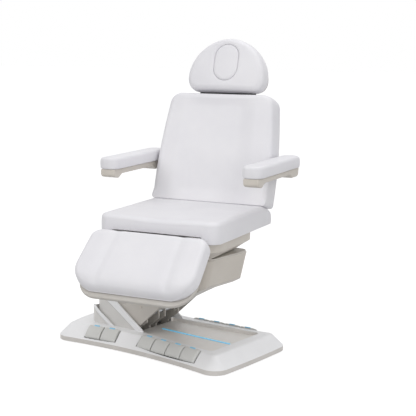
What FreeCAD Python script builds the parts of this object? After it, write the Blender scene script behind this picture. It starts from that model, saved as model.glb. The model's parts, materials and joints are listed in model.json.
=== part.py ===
"""Electric treatment chair: seat, back, leg rest and arms on a swivelling parallelogram lift.

Lengths are millimetres and angles degrees. The row frame has its origin on the floor under the
middle of the base, +Z up, and the chair faces -Y. The base stands turned under the chair: its own
frame has x along its length towards the tray and y across it. Every driving size is a cell of the
sheet, and each piece is modelled in the frame of the piece that carries it, then placed.
"""
import FreeCAD, Part
import math
import os

from FreeCAD import Placement, Rotation, Vector

# The hood, the arm housing inside it and the shroud behind it keep 12 mm steps.
HOOD_HALF = 150

SIZES = [
    # Base cover and plate
    ("base_turn", 12, "turn of the base under the chair"),
    ("base_left", 470, "left corners, from the middle"),
    ("base_right", 505, "right corners, from the middle"),
    ("left_bulge", 55, "how far the left end bows out"),
    ("right_bulge", 9, "how far the right end bows out"),
    ("left_half", 304, "half width at the left corners"),
    ("right_half", 287, "half width at the right corners"),
    ("waist_half", 251, "half width at the waist"),
    ("corner_round", 72, "plan radius of the corners"),
    ("base_height", 80, "floor to plateau"),
    ("rim_height", 24, "floor to the foot of the slope"),
    ("cover_wall", 4, "wall of the moulded covers"),
    ("ground_gap", 3, "cover edge above the floor"),
    ("plate_inset", 14, "base plate inside the outline"),
    ("plate_level", 4, "underside of the base plate"),
    ("plate_thick", 6, "base plate"),
    ("foot_radius", 20, "levelling feet"),
    # Tray and well
    ("tray_left", 100, "left end of the tray, left of the middle"),
    ("tray_right", 385, "right end of the tray floor"),
    ("tray_half_left", 142, "half width at the left end"),
    ("tray_half_right", 186, "half width at the right end"),
    ("tray_depth", 18, "plateau to tray floor"),
    ("well_left", 372, "left end of the lift well, left of the middle"),
    ("strip_left", 45, "left end of the light strip, left of the middle"),
    ("strip_right", 367, "right end of the light strip"),
    ("strip_width", 12, "light strip"),
    # Pedals
    ("pedal_pitch", 90.5, "pedal spacing"),
    ("pedal_width", 86, "one pedal"),
    ("pedal_reach", 45, "plateau edge to the outer end of a pedal"),
    ("pedal_skin", 4, "wall of a pedal"),
    ("rod_radius", 3, "pedal pivot rod"),
    ("run_gap", 0.05, "radial clearance of a running fit"),
    ("long_row_x", 180.5, "middle of a row of four"),
    ("long_row_y", 200, "plateau edge at a row of four"),
    ("long_row_turn", 3.2, "turn of a row of four"),
    ("short_row_x", 225, "middle of a row of two, left of the middle"),
    ("short_row_y", 211, "plateau edge at a row of two"),
    ("short_row_turn", 7, "turn of a row of two"),
    # Lift
    ("pivot_x", 65, "arm pivot, left of the middle"),
    ("pivot_z", 150, "arm pivot above the floor"),
    ("arm_length", 365.6, "pivot to pivot"),
    ("arm_angle", 40, "arm above level, as pictured"),
    ("link_back", 24.4, "link pivots behind the arm pivots"),
    ("link_up", 29.1, "link pivots above the arm pivots"),
    ("arm_half_depth", 26, "half depth of an arm plate"),
    ("arm_inner", 100, "inner face of the arm plates"),
    ("plate_gauge", 6, "steel side plates"),
    ("cheek_inner", 112, "inner face of the outer cheeks"),
    ("link_half", 18, "half width of the level link"),
    ("link_half_depth", 13, "half depth of the level link"),
    ("housing_half", HOOD_HALF - 12, "outer half width of the arm housing"),
    ("hood_half", HOOD_HALF, "outer half width of the hood and the head cover"),
    ("shroud_half", HOOD_HALF + 12, "outer half width of the rear shroud"),
    ("shaft_radius", 12, "arm shafts"),
    ("bush_radius", 15, "outside of the arm bushes"),
    ("link_pin_radius", 8, "link pins"),
    ("lift_lever", 42, "shaft to lift lever pin"),
    ("lever_pin_radius", 6, "lever pins of the three drives"),
    ("drive_offset", 62, "drives beside the middle"),
    ("drive_tube", 15, "radius of a drive tube"),
    ("drive_rod", 9, "radius of a drive rod"),
    ("eye_slack", 1.2, "slot of a rod eye beyond its pin, along the rod"),
    # Swivel and seat
    ("swivel_reach", 133, "swivel axis right of the middle of the base"),
    ("head_top", 476, "underside of the lift head plate"),
    ("race_height", 12, "swivel race"),
    ("race_gap", 0.3, "between the two races"),
    ("race_radius", 95, "outside of the races"),
    ("spigot_radius", 38, "bore of the swivel hub"),
    ("shell_bottom", 489, "underside of the seat shell"),
    ("shell_break", 46, "sloped part of the seat shell"),
    ("shell_half", 270, "half width of the seat shell"),
    ("shell_front", 302, "front of the shell, ahead of the swivel"),
    ("shell_rear", 158, "rear of the shell, behind the swivel"),
    ("frame_top", 573, "top of the seat frame"),
    ("board_thick", 9.7, "seat board"),
    ("seat_top", 680, "top of the seat cushion"),
    ("seat_half", 300, "half width of the seat cushion"),
    ("seat_front", 332, "front of the seat cushion, ahead of the swivel"),
    ("seat_rear", 263, "rear of the seat cushion, behind the swivel"),
    ("soft_gap", 0.3, "between a cushion and its board"),
    # Back
    ("back_foot_y", 168, "foot of the backrest face, behind the swivel"),
    ("back_lean", 17, "lean of the backrest, as pictured"),
    ("back_length", 535, "length of the back cushion"),
    ("back_low_half", 303, "half width of the back cushion at the seat"),
    ("back_high_half", 270, "half width of the back cushion at its top"),
    ("back_thick", 110, "back cushion"),
    ("back_shell_depth", 44, "rear shell of the back"),
    ("back_hinge_y", 220, "recline axis behind the swivel"),
    ("back_hinge_z", 609, "recline axis above the floor"),
    ("back_lever", 62, "recline axis to lever pin"),
    ("back_travel", 73, "recline travel"),
    ("hinge_pin_radius", 8, "hinge pins"),
    ("hinge_tube", 12, "cross tubes on the hinge axes"),
    # Leg rest
    ("leg_head_y", 382, "head of the leg cushion face, ahead of the swivel"),
    ("leg_head_z", 637, "head of the leg cushion face above the floor"),
    ("leg_drop", 43, "leg rest below level, as pictured"),
    ("leg_length", 335, "length of the leg cushion"),
    ("leg_high_half", 285, "half width of the leg cushion at the seat"),
    ("leg_low_half", 300, "half width of the leg cushion at its foot"),
    ("leg_thick", 70, "leg cushion"),
    ("leg_board_thick", 20, "leg board"),
    ("leg_hinge_y", 317, "leg hinge ahead of the swivel"),
    ("leg_hinge_z", 592, "leg hinge above the floor"),
    ("leg_lever", 48, "leg hinge to lever pin"),
    ("leg_lower_travel", 35, "travel below the pictured angle"),
    # Arms
    ("arm_middle", 365.5, "middle of an armrest from the middle of the chair"),
    ("rest_half", 50, "half width of an arm pad"),
    ("rest_front", 142, "front of an arm pad, ahead of the swivel"),
    ("rest_rear", 353, "rear of an arm pad, behind the swivel"),
    ("rest_top", 906, "top of an arm pad"),
    ("rest_thick", 55, "arm pad"),
    ("casing_half", 38, "half width of an arm casing"),
    ("rest_pivot_y", 300, "arm pivot behind the swivel"),
    ("rest_pivot_z", 836, "arm pivot above the floor"),
    # Headrest
    ("head_gap", 18, "back cushion to headrest"),
    ("head_height", 262, "headrest cushion"),
    ("head_half", 205, "half width of the headrest cushion"),
    ("head_thick", 84, "headrest cushion"),
    ("head_shoulder", 112, "headrest foot to where its sides turn in"),
    ("head_crown", 112, "half width across the top before it is rounded"),
    ("head_set_back", 8, "headrest face behind the backrest face"),
    ("plug_half_width", 63, "half width of the face hole"),
    ("plug_half_height", 89, "half height of the face hole"),
    ("plug_rise", 138, "middle of the face hole above the headrest foot"),
    ("plug_gap", 1.0, "between the plug and its hole"),
    ("post_radius", 8, "headrest posts"),
    ("post_spread", 60, "headrest posts from the middle"),
]

doc = FreeCAD.newDocument("treatment_chair")
sheet = doc.addObject("Spreadsheet::Sheet", "dims")
for row, (alias, number, note) in enumerate(SIZES, start=1):
    sheet.set("A%d" % row, note)
    sheet.set("B%d" % row, str(number))
    sheet.setAlias("B%d" % row, alias)
doc.recompute()
size = {alias: float(sheet.get(alias)) for alias, number, note in SIZES}

# Where the named sizes put the main points, in the frame that each comment names.
TURN = math.radians(size["base_turn"])
BASE_FRAME = Placement(Vector(0, 0, 0), Rotation(Vector(0, 0, 1), -size["base_turn"]))
CHAIR_FRAME = Placement(
    Vector(size["swivel_reach"] * math.cos(TURN), -size["swivel_reach"] * math.sin(TURN), 0),
    Rotation())
X_AXIS = Vector(1, 0, 0)
BACK_FRAME = CHAIR_FRAME.multiply(Placement(
    Vector(0, size["back_foot_y"], size["seat_top"]), Rotation(X_AXIS, -size["back_lean"])))
LEG_FRAME = CHAIR_FRAME.multiply(Placement(
    Vector(0, -size["leg_head_y"], size["leg_head_z"]), Rotation(X_AXIS, size["leg_drop"])))


def polar(origin, length, degrees):
    """The point at a length and angle from an origin, all in one plane."""
    angle = math.radians(degrees)
    return (origin[0] + length * math.cos(angle), origin[1] + length * math.sin(angle))


def turned(point, degrees):
    """A point of a plane turned about its origin."""
    angle = math.radians(degrees)
    return (point[0] * math.cos(angle) - point[1] * math.sin(angle),
            point[0] * math.sin(angle) + point[1] * math.cos(angle))


# Lift points in the base frame's x and z
LOW_PIVOT = (-size["pivot_x"], size["pivot_z"])
HIGH_PIVOT = polar(LOW_PIVOT, size["arm_length"], size["arm_angle"])
LOW_LINK = (LOW_PIVOT[0] - size["link_back"], LOW_PIVOT[1] + size["link_up"])
HIGH_LINK = (HIGH_PIVOT[0] - size["link_back"], HIGH_PIVOT[1] + size["link_up"])
LIFT_PIN = polar(HIGH_PIVOT, size["lift_lever"], 120)
ARM_FRAME = BASE_FRAME.multiply(Placement(
    Vector(LOW_PIVOT[0], 0, LOW_PIVOT[1]), Rotation(Vector(0, 1, 0), -size["arm_angle"])))
LINK_FRAME = BASE_FRAME.multiply(Placement(
    Vector(LOW_LINK[0], 0, LOW_LINK[1]), Rotation(Vector(0, 1, 0), -size["arm_angle"])))

# Hinge points: in the chair frame's y and z, and again in the moving piece's own frame
BACK_HINGE = (size["back_hinge_y"], size["back_hinge_z"])
BACK_PIN = polar(BACK_HINGE, size["back_lever"], 270 + size["back_travel"] / 2)
LEG_HINGE = (-size["leg_hinge_y"], size["leg_hinge_z"])
LEG_SWING = size["leg_drop"] + size["leg_lower_travel"]
LEG_PIN = polar(LEG_HINGE, size["leg_lever"], 270 + size["leg_drop"] - LEG_SWING / 2)


def in_back(point):
    """A point of the chair's y and z plane, in the backrest's own y and z."""
    shifted = (point[0] - size["back_foot_y"], point[1] - size["seat_top"])
    return turned(shifted, size["back_lean"])


def in_leg(point):
    """A point of the chair's y and z plane, in the leg rest's own y and z."""
    shifted = (point[0] + size["leg_head_y"], point[1] - size["leg_head_z"])
    return turned(shifted, -size["leg_drop"])


# Drawing helpers

def rounded(*corners):
    """A closed outline through corners (x, y, radius), each rounded by a tangent arc."""
    points = [Vector(c[0], c[1], 0) for c in corners]
    radii = [c[2] if len(c) > 2 else 0 for c in corners]
    ends = []
    count = len(points)
    for i, corner in enumerate(points):
        before = (points[i - 1] - corner).normalize()
        after = (points[(i + 1) % count] - corner).normalize()
        if radii[i] == 0:
            ends.append((corner, None, corner))
            continue
        half = before.getAngle(after) / 2
        reach = radii[i] / math.tan(half)
        bisector = (before + after).normalize()
        middle = corner + bisector * (radii[i] / math.sin(half) - radii[i])
        ends.append((corner + before * reach, middle, corner + after * reach))
    edges = []
    for i, (start, middle, finish) in enumerate(ends):
        if middle is not None:
            edges.append(Part.Arc(start, middle, finish))
        following = ends[(i + 1) % count][0]
        if finish.distanceToPoint(following) > 0.001:
            edges.append(Part.LineSegment(finish, following))
    return edges


def ring(x, y, radius):
    """A circle as an outline."""
    return [Part.Circle(Vector(x, y, 0), Vector(0, 0, 1), radius)]


def box_outline(x_low, x_high, y_low, y_high, radius=0):
    """A rectangle, with its corners rounded alike."""
    return rounded((x_low, y_low, radius), (x_high, y_low, radius),
                   (x_high, y_high, radius), (x_low, y_high, radius))


def new_body(label, placement):
    """A body named for its piece, standing in the frame of what carries it."""
    body = doc.addObject("PartDesign::Body", label)
    body.Label = label
    body.Placement = placement
    return body


def new_sketch(body, plane, outlines, start):
    """A sketch on one of the body's own planes, moved along the plane's normal."""
    sketch = body.newObject("Sketcher::SketchObject", body.Label + "_sketch")
    support = [item for item in body.Origin.OriginFeatures if item.Role == plane][0]
    sketch.AttachmentSupport = [(support, "")]
    sketch.MapMode = "FlatFace"
    sketch.AttachmentOffset = Placement(Vector(0, 0, start), Rotation())
    for outline in outlines:
        for edge in outline:
            sketch.addGeometry(edge, False)
    return sketch


def set_length(feature, length):
    """A length given as an expression on the sheet or as a worked-out number."""
    if isinstance(length, str):
        feature.setExpression("Length", length)
    else:
        feature.Length = length


def pad(body, plane, outlines, length, start=0, symmetric=False):
    """Material on outlines, from start along the plane's normal, or to both sides of it."""
    feature = body.newObject("PartDesign::Pad", body.Label + "_pad")
    feature.Profile = new_sketch(body, plane, outlines, start)
    set_length(feature, length)
    feature.SideType = "Symmetric" if symmetric else "One side"
    body.Tip = feature
    return feature


def cut(body, plane, outlines, length, start=0, symmetric=False):
    """A pocket on outlines, from start along the plane's normal, or to both sides of it."""
    feature = body.newObject("PartDesign::Pocket", body.Label + "_cut")
    feature.Profile = new_sketch(body, plane, outlines, start)
    set_length(feature, length)
    feature.Reversed = not symmetric
    feature.SideType = "Symmetric" if symmetric else "One side"
    body.Tip = feature
    return feature


def edges_where(shape, test):
    """The names of the edges whose middle point passes a test."""
    names = []
    for index, edge in enumerate(shape.Edges, start=1):
        middle = edge.valueAt((edge.FirstParameter + edge.LastParameter) / 2)
        if test(middle, edge):
            names.append("Edge%d" % index)
    return names


def dress(body, kind, amount, test):
    """A fillet or chamfer on the edges that pass a test."""
    doc.recompute()
    base = body.Tip
    names = edges_where(base.Shape, test)
    feature = body.newObject("PartDesign::" + kind, body.Label + "_" + kind.lower())
    feature.Base = (base, names)
    if kind == "Fillet":
        feature.Radius = amount
    else:
        feature.Size = amount
    body.Tip = feature
    return feature


def chord(edge):
    """The direction from an edge's start to its end."""
    span = edge.valueAt(edge.LastParameter) - edge.valueAt(edge.FirstParameter)
    return span.normalize() if span.Length > 0.001 else Vector(0, 0, 0)


def upright(middle, edge):
    """An edge that runs straight up."""
    return abs(chord(edge).z) > 0.99


def near(value, target):
    return abs(value - target) < 0.5


def solid_piece(label, shape, placement):
    """A piece whose form is worked out by Part's own functions."""
    piece = doc.addObject("Part::Feature", label)
    piece.Label = label
    piece.Shape = shape
    piece.Placement = placement
    return piece


PIECES = []


def keep(piece):
    """Notes a finished piece for the export at the end."""
    PIECES.append(piece)
    return piece


def meet(one, other):
    """Where two circles (x, y, radius) cross: both points."""
    dx = other[0] - one[0]
    dy = other[1] - one[1]
    apart = math.hypot(dx, dy)
    along = (apart ** 2 + one[2] ** 2 - other[2] ** 2) / (2 * apart)
    off = math.sqrt(one[2] ** 2 - along ** 2)
    foot = (one[0] + dx * along / apart, one[1] + dy * along / apart)
    side = (-dy * off / apart, dx * off / apart)
    return [(foot[0] + side[0], foot[1] + side[1]), (foot[0] - side[0], foot[1] - side[1])]


def circle_through(a, b, c):
    """The circle (x, y, radius) through three points."""
    circle = Part.Circle(Vector(a[0], a[1], 0), Vector(b[0], b[1], 0), Vector(c[0], c[1], 0))
    return (circle.Center.x, circle.Center.y, circle.Radius)


def base_outline(inset):
    """The plan of the base, moved in by an inset: two hollow sides and two bowed ends."""
    left = -size["base_left"]
    right = size["base_right"]
    near_side = circle_through((left, -size["left_half"]), (0, -size["waist_half"]),
                               (right, -size["right_half"]))
    far_side = (near_side[0], -near_side[1], near_side[2])
    left_end = circle_through((left, -size["left_half"]), (left - size["left_bulge"], 0),
                              (left, size["left_half"]))
    right_end = circle_through((right, -size["right_half"]), (right + size["right_bulge"], 0),
                               (right, size["right_half"]))
    circles = [(near_side[0], near_side[1], near_side[2] + inset),
               (right_end[0], right_end[1], right_end[2] - inset),
               (far_side[0], far_side[1], far_side[2] + inset),
               (left_end[0], left_end[1], left_end[2] - inset)]
    aims = [(left, -300), (right, -290), (right, 290), (left, 300)]
    corners = []
    for i in range(4):
        found = meet(circles[i - 1], circles[i])
        corners.append(min(found, key=lambda p: math.dist(p, aims[i])))
    edges = []
    for i, circle in enumerate(circles):
        start = corners[i]
        finish = corners[(i + 1) % 4]
        half = ((start[0] + finish[0]) / 2 - circle[0], (start[1] + finish[1]) / 2 - circle[1])
        scale = circle[2] / math.hypot(half[0], half[1])
        middle = (circle[0] + half[0] * scale, circle[1] + half[1] * scale)
        edges.append(Part.Arc(Vector(start[0], start[1], 0), Vector(middle[0], middle[1], 0),
                              Vector(finish[0], finish[1], 0)))
    return edges


def strap(start, finish, radius):
    """An outline round two points, with rounded ends."""
    a = Vector(start[0], start[1], 0)
    b = Vector(finish[0], finish[1], 0)
    along = (b - a).normalize() * radius
    across = Vector(-along.y, along.x, 0)
    return [Part.LineSegment(a - across, b - across),
            Part.Arc(b - across, b + along, b + across),
            Part.LineSegment(b + across, a + across),
            Part.Arc(a + across, a - along, a - across)]


def pair(body, plane, outlines, inner, gauge):
    """Two plates alike, either side of the body's middle."""
    pad(body, plane, outlines, gauge, inner)
    pad(body, plane, outlines, gauge, -inner - gauge)


def pair_cut(body, plane, outlines, inner, gauge):
    """Two pockets alike, either side of the body's middle."""
    cut(body, plane, outlines, gauge, inner)
    cut(body, plane, outlines, gauge, -inner - gauge)


def rod(start, axis, radius, length):
    """A plain cylinder for the pieces that are made of rods."""
    return Part.makeCylinder(radius, length, Vector(*start), Vector(*axis))


# ---- Base ----

FEET = [(-430, 240), (-430, -240), (-20, 214), (-20, -214), (455, 218), (455, -218), (0, 0)]
BOSSES = [(-420, 190), (-420, -190), (-60, 172), (-60, -172), (432, 205), (432, -205)]

base_plate = new_body("base_plate", BASE_FRAME)
pad(base_plate, "XY_Plane", [base_outline(size["plate_inset"])], "dims.plate_thick",
    size["plate_level"])
dress(base_plate, "Fillet", size["corner_round"] - size["plate_inset"], upright)
for spot in FEET:
    cut(base_plate, "XY_Plane", [ring(spot[0], spot[1], 5 + size["run_gap"])], 20)
for spot in BOSSES:
    cut(base_plate, "XY_Plane", [ring(spot[0], spot[1], 2.5 + size["run_gap"])], 20)
keep(base_plate)

feet = []
for spot in FEET:
    foot = rod((spot[0], spot[1], 0), (0, 0, 1), size["foot_radius"], size["plate_level"])
    plate_top = size["plate_level"] + size["plate_thick"]
    foot = foot.fuse(rod((spot[0], spot[1], 0), (0, 0, 1), 5, plate_top + 10))
    foot = foot.fuse(rod((spot[0], spot[1], plate_top), (0, 0, 1), 9, 6))
    feet.append(foot.removeSplitter())
keep(solid_piece("levelling_feet", Part.makeCompound(feet), BASE_FRAME))

screws = []
for spot in BOSSES:
    screw = rod((spot[0], spot[1], size["plate_level"] - 2.5), (0, 0, 1), 5, 2.5)
    screw = screw.fuse(rod((spot[0], spot[1], size["plate_level"] - 1), (0, 0, 1), 2.5, 24))
    screws.append(screw.removeSplitter())
keep(solid_piece("base_screws", Part.makeCompound(screws), BASE_FRAME))

slope = size["base_height"] - size["rim_height"]
wall = size["cover_wall"]
base_cover = new_body("base_cover", BASE_FRAME)
pad(base_cover, "XY_Plane", [base_outline(0)], size["base_height"] - size["ground_gap"],
    size["ground_gap"])
dress(base_cover, "Fillet", size["corner_round"], upright)
dress(base_cover, "Chamfer", slope, lambda m, e: near(m.z, size["base_height"]))
dress(base_cover, "Fillet", 20, lambda m, e: near(m.z, size["base_height"]))
base_hollow = new_body("base_hollow", BASE_FRAME)
pad(base_hollow, "XY_Plane", [base_outline(wall)], size["base_height"] - wall)
dress(base_hollow, "Fillet", size["corner_round"] - wall, upright)
dress(base_hollow, "Chamfer", slope - wall * (2 - math.sqrt(2)),
      lambda m, e: near(m.z, size["base_height"] - wall))

tray_top = size["base_height"]
tray_floor = tray_top - size["tray_depth"]


def tray_outline(grow):
    """The plan of the tray, widening to the right."""
    left = -size["tray_left"]
    right = size["tray_right"] + 20
    return rounded((left - grow, -size["tray_half_left"] - grow, 6 + grow),
                   (right + grow, -size["tray_half_right"] - grow, 24 + grow),
                   (right + grow, size["tray_half_right"] + grow, 24 + grow),
                   (left - grow, size["tray_half_left"] + grow, 6 + grow))


well_outline = box_outline(-size["well_left"], -size["tray_left"], -size["tray_half_left"],
                           size["tray_half_left"], 12)
doc.recompute()
shell_cut = doc.addObject("Part::Cut", "base_cover_shell")
shell_cut.Base = base_cover
shell_cut.Tool = base_hollow


def slab(outline, low, high):
    """A straight block on an outline between two levels."""
    wire = Part.Wire([edge.toShape() for edge in outline])
    face = Part.Face(wire)
    face.translate(Vector(0, 0, low))
    return face.extrude(Vector(0, 0, high - low))


def side_slab(outline, half):
    """A straight block on a side outline (x, z), as wide to one side of the middle as the other."""
    face = Part.Face(Part.Wire([edge.toShape() for edge in outline]))
    face.rotate(Vector(0, 0, 0), X_AXIS, 90)
    face.translate(Vector(0, half, 0))
    return face.extrude(Vector(0, -2 * half, 0))


ROWS = [(size["long_row_x"], -size["long_row_y"], -size["long_row_turn"], 4),
        (-size["short_row_x"], -size["short_row_y"], size["short_row_turn"], 2),
        (size["long_row_x"], size["long_row_y"], 180 + size["long_row_turn"], 4),
        (-size["short_row_x"], size["short_row_y"], 180 - size["short_row_turn"], 2)]


def row_frame(row):
    """Where a row of pedals stands: x along the row, y towards the middle of the base."""
    return Placement(Vector(row[0], row[1], 0), Rotation(Vector(0, 0, 1), row[2]))


added = slab(tray_outline(wall), tray_floor - wall, tray_top - 2)
skirt = slab(box_outline(-size["well_left"] - wall, -size["tray_left"] + wall,
                         -size["tray_half_left"] - wall, size["tray_half_left"] + wall, 16),
             tray_floor - wall - 20, tray_top - 2)
added = added.fuse(skirt)
for spot in BOSSES:
    added = added.fuse(rod((spot[0], spot[1], size["plate_level"] + size["plate_thick"]),
                           (0, 0, 1), 8, 68))
removed = slab(tray_outline(0), tray_floor, tray_top + 10)
removed = removed.fuse(slab(well_outline, 0, tray_top + 10))
for row in ROWS:
    half = row[3] * size["pedal_pitch"] / 2 + 3
    pocket = Part.makeBox(2 * half, size["pedal_reach"] + 7, 80,
                          Vector(-half, -size["pedal_reach"] - 2, 22))
    pocket.Placement = row_frame(row)
    removed = removed.fuse(pocket)
for spot in BOSSES:
    removed = removed.fuse(rod((spot[0], spot[1], 0), (0, 0, 1), 2.5 + size["run_gap"], 40))
cover_extra = solid_piece("base_cover_extra", added, BASE_FRAME)
cover_openings = solid_piece("base_cover_openings", removed, BASE_FRAME)
cover_whole = doc.addObject("Part::Fuse", "base_cover_whole")
cover_whole.Base = shell_cut
cover_whole.Tool = cover_extra
cover_done = doc.addObject("Part::Cut", "base_cover_done")
cover_done.Base = cover_whole
cover_done.Tool = cover_openings
cover_done.Label = "base_cover_finished"
base_cover.Label = "base_cover_block"
cover_done.Label = "base_cover"
keep(cover_done)

strip = new_body("led_strip", BASE_FRAME)
pad(strip, "XY_Plane", [box_outline(-size["strip_left"], size["strip_right"],
                                    -size["strip_width"] / 2, size["strip_width"] / 2, 5)],
    2.5, tray_floor)
dress(strip, "Fillet", 1.2, lambda m, e: near(m.z, tray_floor + 2.5))
keep(strip)

box = new_body("control_box", BASE_FRAME)
pad(box, "XY_Plane", [box_outline(-455, -392, -60, 60, 6)], 46,
    size["plate_level"] + size["plate_thick"])
keep(box)

# ---- Pedals ----

def pedal_outline(grow):
    """The side of a pedal: a bowed top over a sloping underside, drawn in by a wall."""
    reach = size["pedal_reach"]
    top = size["base_height"] + 3.5
    if grow == 0:
        start = Vector(3, top, 0)
        crown = Vector(-reach * 0.49, top - 14.5, 0)
        end = Vector(-reach, top - 42.5, 0)
        low = Vector(-reach, top - 50.5, 0)
        heel = Vector(3, top - 13.5, 0)
    else:
        start = Vector(3 - grow, top - grow * 1.2, 0)
        crown = Vector(-reach * 0.49 + 1, top - 14.5 - grow, 0)
        end = Vector(-reach + grow, top - 42.5 - grow * 0.4, 0)
        low = Vector(-reach + grow, top - 70, 0)
        heel = Vector(3 - grow, top - 70, 0)
    return [Part.Arc(start, crown, end), Part.LineSegment(end, low),
            Part.LineSegment(low, heel), Part.LineSegment(heel, start)]


ROD_Y = -2
ROD_Z = 62
pedal_count = 0
for row in ROWS:
    for place in range(row[3]):
        pedal_count += 1
        along = (place - (row[3] - 1) / 2) * size["pedal_pitch"]
        frame = BASE_FRAME.multiply(row_frame(row)).multiply(
            Placement(Vector(along, 0, 0), Rotation()))
        pedal = new_body("pedal_%02d" % pedal_count, frame)
        pad(pedal, "YZ_Plane", [pedal_outline(0)], "dims.pedal_width", 0, True)
        dress(pedal, "Fillet", 5, lambda m, e: abs(abs(m.x) - size["pedal_width"] / 2) < 0.5
              and m.z > 60 and m.y < 0)
        cut(pedal, "YZ_Plane", [pedal_outline(size["pedal_skin"])],
            size["pedal_width"] - 2 * size["pedal_skin"], 0, True)
        pad(pedal, "YZ_Plane", [rounded((-9, 55.5, 5), (2.5, 55.5, 3), (-1, 77, 0), (-9, 75, 0))],
            16, 0, True)
        pad(pedal, "YZ_Plane", [rounded((-32, 43, 1), (-28, 43, 1), (-28, 62, 0), (-32, 60, 0))],
            20, 0, True)
        cut(pedal, "YZ_Plane", [ring(ROD_Y, ROD_Z, size["rod_radius"] + size["run_gap"])],
            40, 0, True)
        keep(pedal)

switch_parts = []
plate_top = size["plate_level"] + size["plate_thick"]
for row in ROWS:
    half = row[3] * size["pedal_pitch"] / 2
    rail = rod((-half, ROD_Y, ROD_Z), (1, 0, 0), size["rod_radius"], 2 * half)
    for place in range(row[3] + 1):
        along = -half + place * size["pedal_pitch"]
        rail = rail.fuse(Part.makeBox(3, 12, ROD_Z + 3.5 - plate_top,
                                      Vector(along - 1.5, ROD_Y - 6, plate_top)))
    solids = [rail.removeSplitter()]
    for place in range(row[3]):
        along = (place - (row[3] - 1) / 2) * size["pedal_pitch"]
        solids.append(Part.makeBox(20, 12, 30, Vector(along - 10, -36, plate_top)))
    for piece in solids:
        piece.Placement = row_frame(row).multiply(piece.Placement)
        switch_parts.append(piece)
keep(solid_piece("pedal_switches", Part.makeCompound(switch_parts), BASE_FRAME))

# ---- Rear covers and lift ----

def hood(label, placement, outline, inside, half, gauge, rim=None):
    """A cover of an even wall: a side outline filled across, then hollowed by an inner one."""
    body = new_body(label, placement)
    pad(body, "XZ_Plane", [outline], 2 * half, 0, True)
    if rim is not None:
        pad(body, "XZ_Plane", [rim], 2 * half + 4, 0, True)
    cut(body, "XZ_Plane", [inside], 2 * (half - gauge), 0, True)
    return body


def round_hood(outline, inside, plan_out, plan_in, half, gauge, rim=None):
    """A cover with corners rounded in plan: side outline and plan crossed, then hollowed."""
    block = side_slab(outline, half).common(plan_out)
    if rim is not None:
        block = block.fuse(side_slab(rim, half + 2))
    hollow = side_slab(inside, half - gauge).common(plan_in)
    return block.cut(hollow).removeSplitter()


def rear_plan(left, half, radius):
    """The plan of a rear cover: two round corners at the left, running on to the right."""
    return slab(rounded((left, -half, radius), (100, -half), (100, half), (left, half, radius)),
                0, 400)


level = size["base_height"]
shroud_left = -400
shroud_half = size["shroud_half"]
shroud_outline = rounded((shroud_left, level), (shroud_left, 142, 14), (-352, 170, 14),
                         (-270, 118, 60), (-212, level))
shroud_inside = rounded((shroud_left, 60), (shroud_left, 190), (-180, 190), (-180, 60))
shroud_rim = rounded((-212, level), (-270, 118, 60), (-306, 140.8), (-312, 131), (-276, 107, 50),
                     (-228, level))
shroud = round_hood(shroud_outline, shroud_inside,
                    rear_plan(shroud_left, shroud_half, 90),
                    rear_plan(shroud_left + 4, shroud_half - 4, 86), shroud_half, 4, shroud_rim)
inlet_hole = Part.makeBox(20, 28.4, 20.4, Vector(shroud_left - 5, -14.2, 96.8))
keep(solid_piece("rear_shroud", shroud.cut(inlet_hole), BASE_FRAME))

inlet = new_body("mains_inlet", BASE_FRAME)
pad(inlet, "YZ_Plane", [box_outline(-24, 24, 92, 122, 4)], 3, shroud_left - 3)
pad(inlet, "YZ_Plane", [box_outline(-14, 14, 97, 117, 2)], 24, shroud_left)
cut(inlet, "YZ_Plane", [rounded((-12, 99), (12, 99), (12, 110), (7, 115), (-7, 115), (-12, 110))],
    17, shroud_left - 4)
for spot in ((-7, 104), (0, 109), (7, 104)):
    pad(inlet, "YZ_Plane", [box_outline(spot[0] - 1, spot[0] + 1, spot[1] - 2, spot[1] + 2)],
        16, shroud_left - 1)
keep(inlet)

hood_half = size["hood_half"]
hood_outline = rounded((-350, level), (-350, 195, 14), (-327, 208, 12), (-232, 219, 8),
                       (-45, 92, 6), (-36, level))
hood_inside = rounded((-350, 60), (-350, 191.5, 10), (-326, 204, 8), (-236, 214.5), (20, 214.5),
                      (20, 60))
hood_rim = rounded((-232, 219, 8), (-45, 92, 6), (-36, level), (-54, level), (-60, 88, 6),
                   (-238, 208), (-245, 217.4))
hood_shape = round_hood(hood_outline, hood_inside, rear_plan(-350, hood_half, 50),
                        rear_plan(-346, hood_half - 5, 45), hood_half, 5, hood_rim)
keep(solid_piece("rear_hood", hood_shape, BASE_FRAME))

P = LOW_PIVOT
bracket = new_body("lift_bracket", BASE_FRAME)
plate_top = size["plate_level"] + size["plate_thick"]
pad(bracket, "XY_Plane", [box_outline(P[0] - 95, P[0] + 95, -128, 128, 10)], 6, plate_top)
step = -size["tray_left"] - 4
outer_cheek = rounded((step - 48, plate_top + 3), (step, plate_top + 3), (step, 74),
                      (P[0] + 27, P[1] - 30, 10), (P[0] + 27, P[1] + 25, 24),
                      (P[0] - 27, P[1] + 25, 24), (step - 48, 90, 20))
pair(bracket, "XZ_Plane", [outer_cheek], size["cheek_inner"], size["plate_gauge"])
inner_cheek = rounded((step - 48, plate_top + 3), (step, plate_top + 3), (step, 74),
                      (P[0] + 20, P[1] - 30, 10), (P[0] + 20, P[1] + 20, 19),
                      (LOW_LINK[0] + 12, LOW_LINK[1] + 14, 12),
                      (LOW_LINK[0] - 14, LOW_LINK[1] + 14, 12), (step - 48, 90, 20))
pair(bracket, "XZ_Plane", [inner_cheek], 20, size["plate_gauge"])
cut(bracket, "XY_Plane", [ring(0, 0, 12)], 20, plate_top - 5)
shaft_bore = size["shaft_radius"] + size["run_gap"]
link_bore = size["link_pin_radius"] + size["run_gap"]
cut(bracket, "XZ_Plane", [ring(P[0], P[1], shaft_bore)], 300, 0, True)
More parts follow.
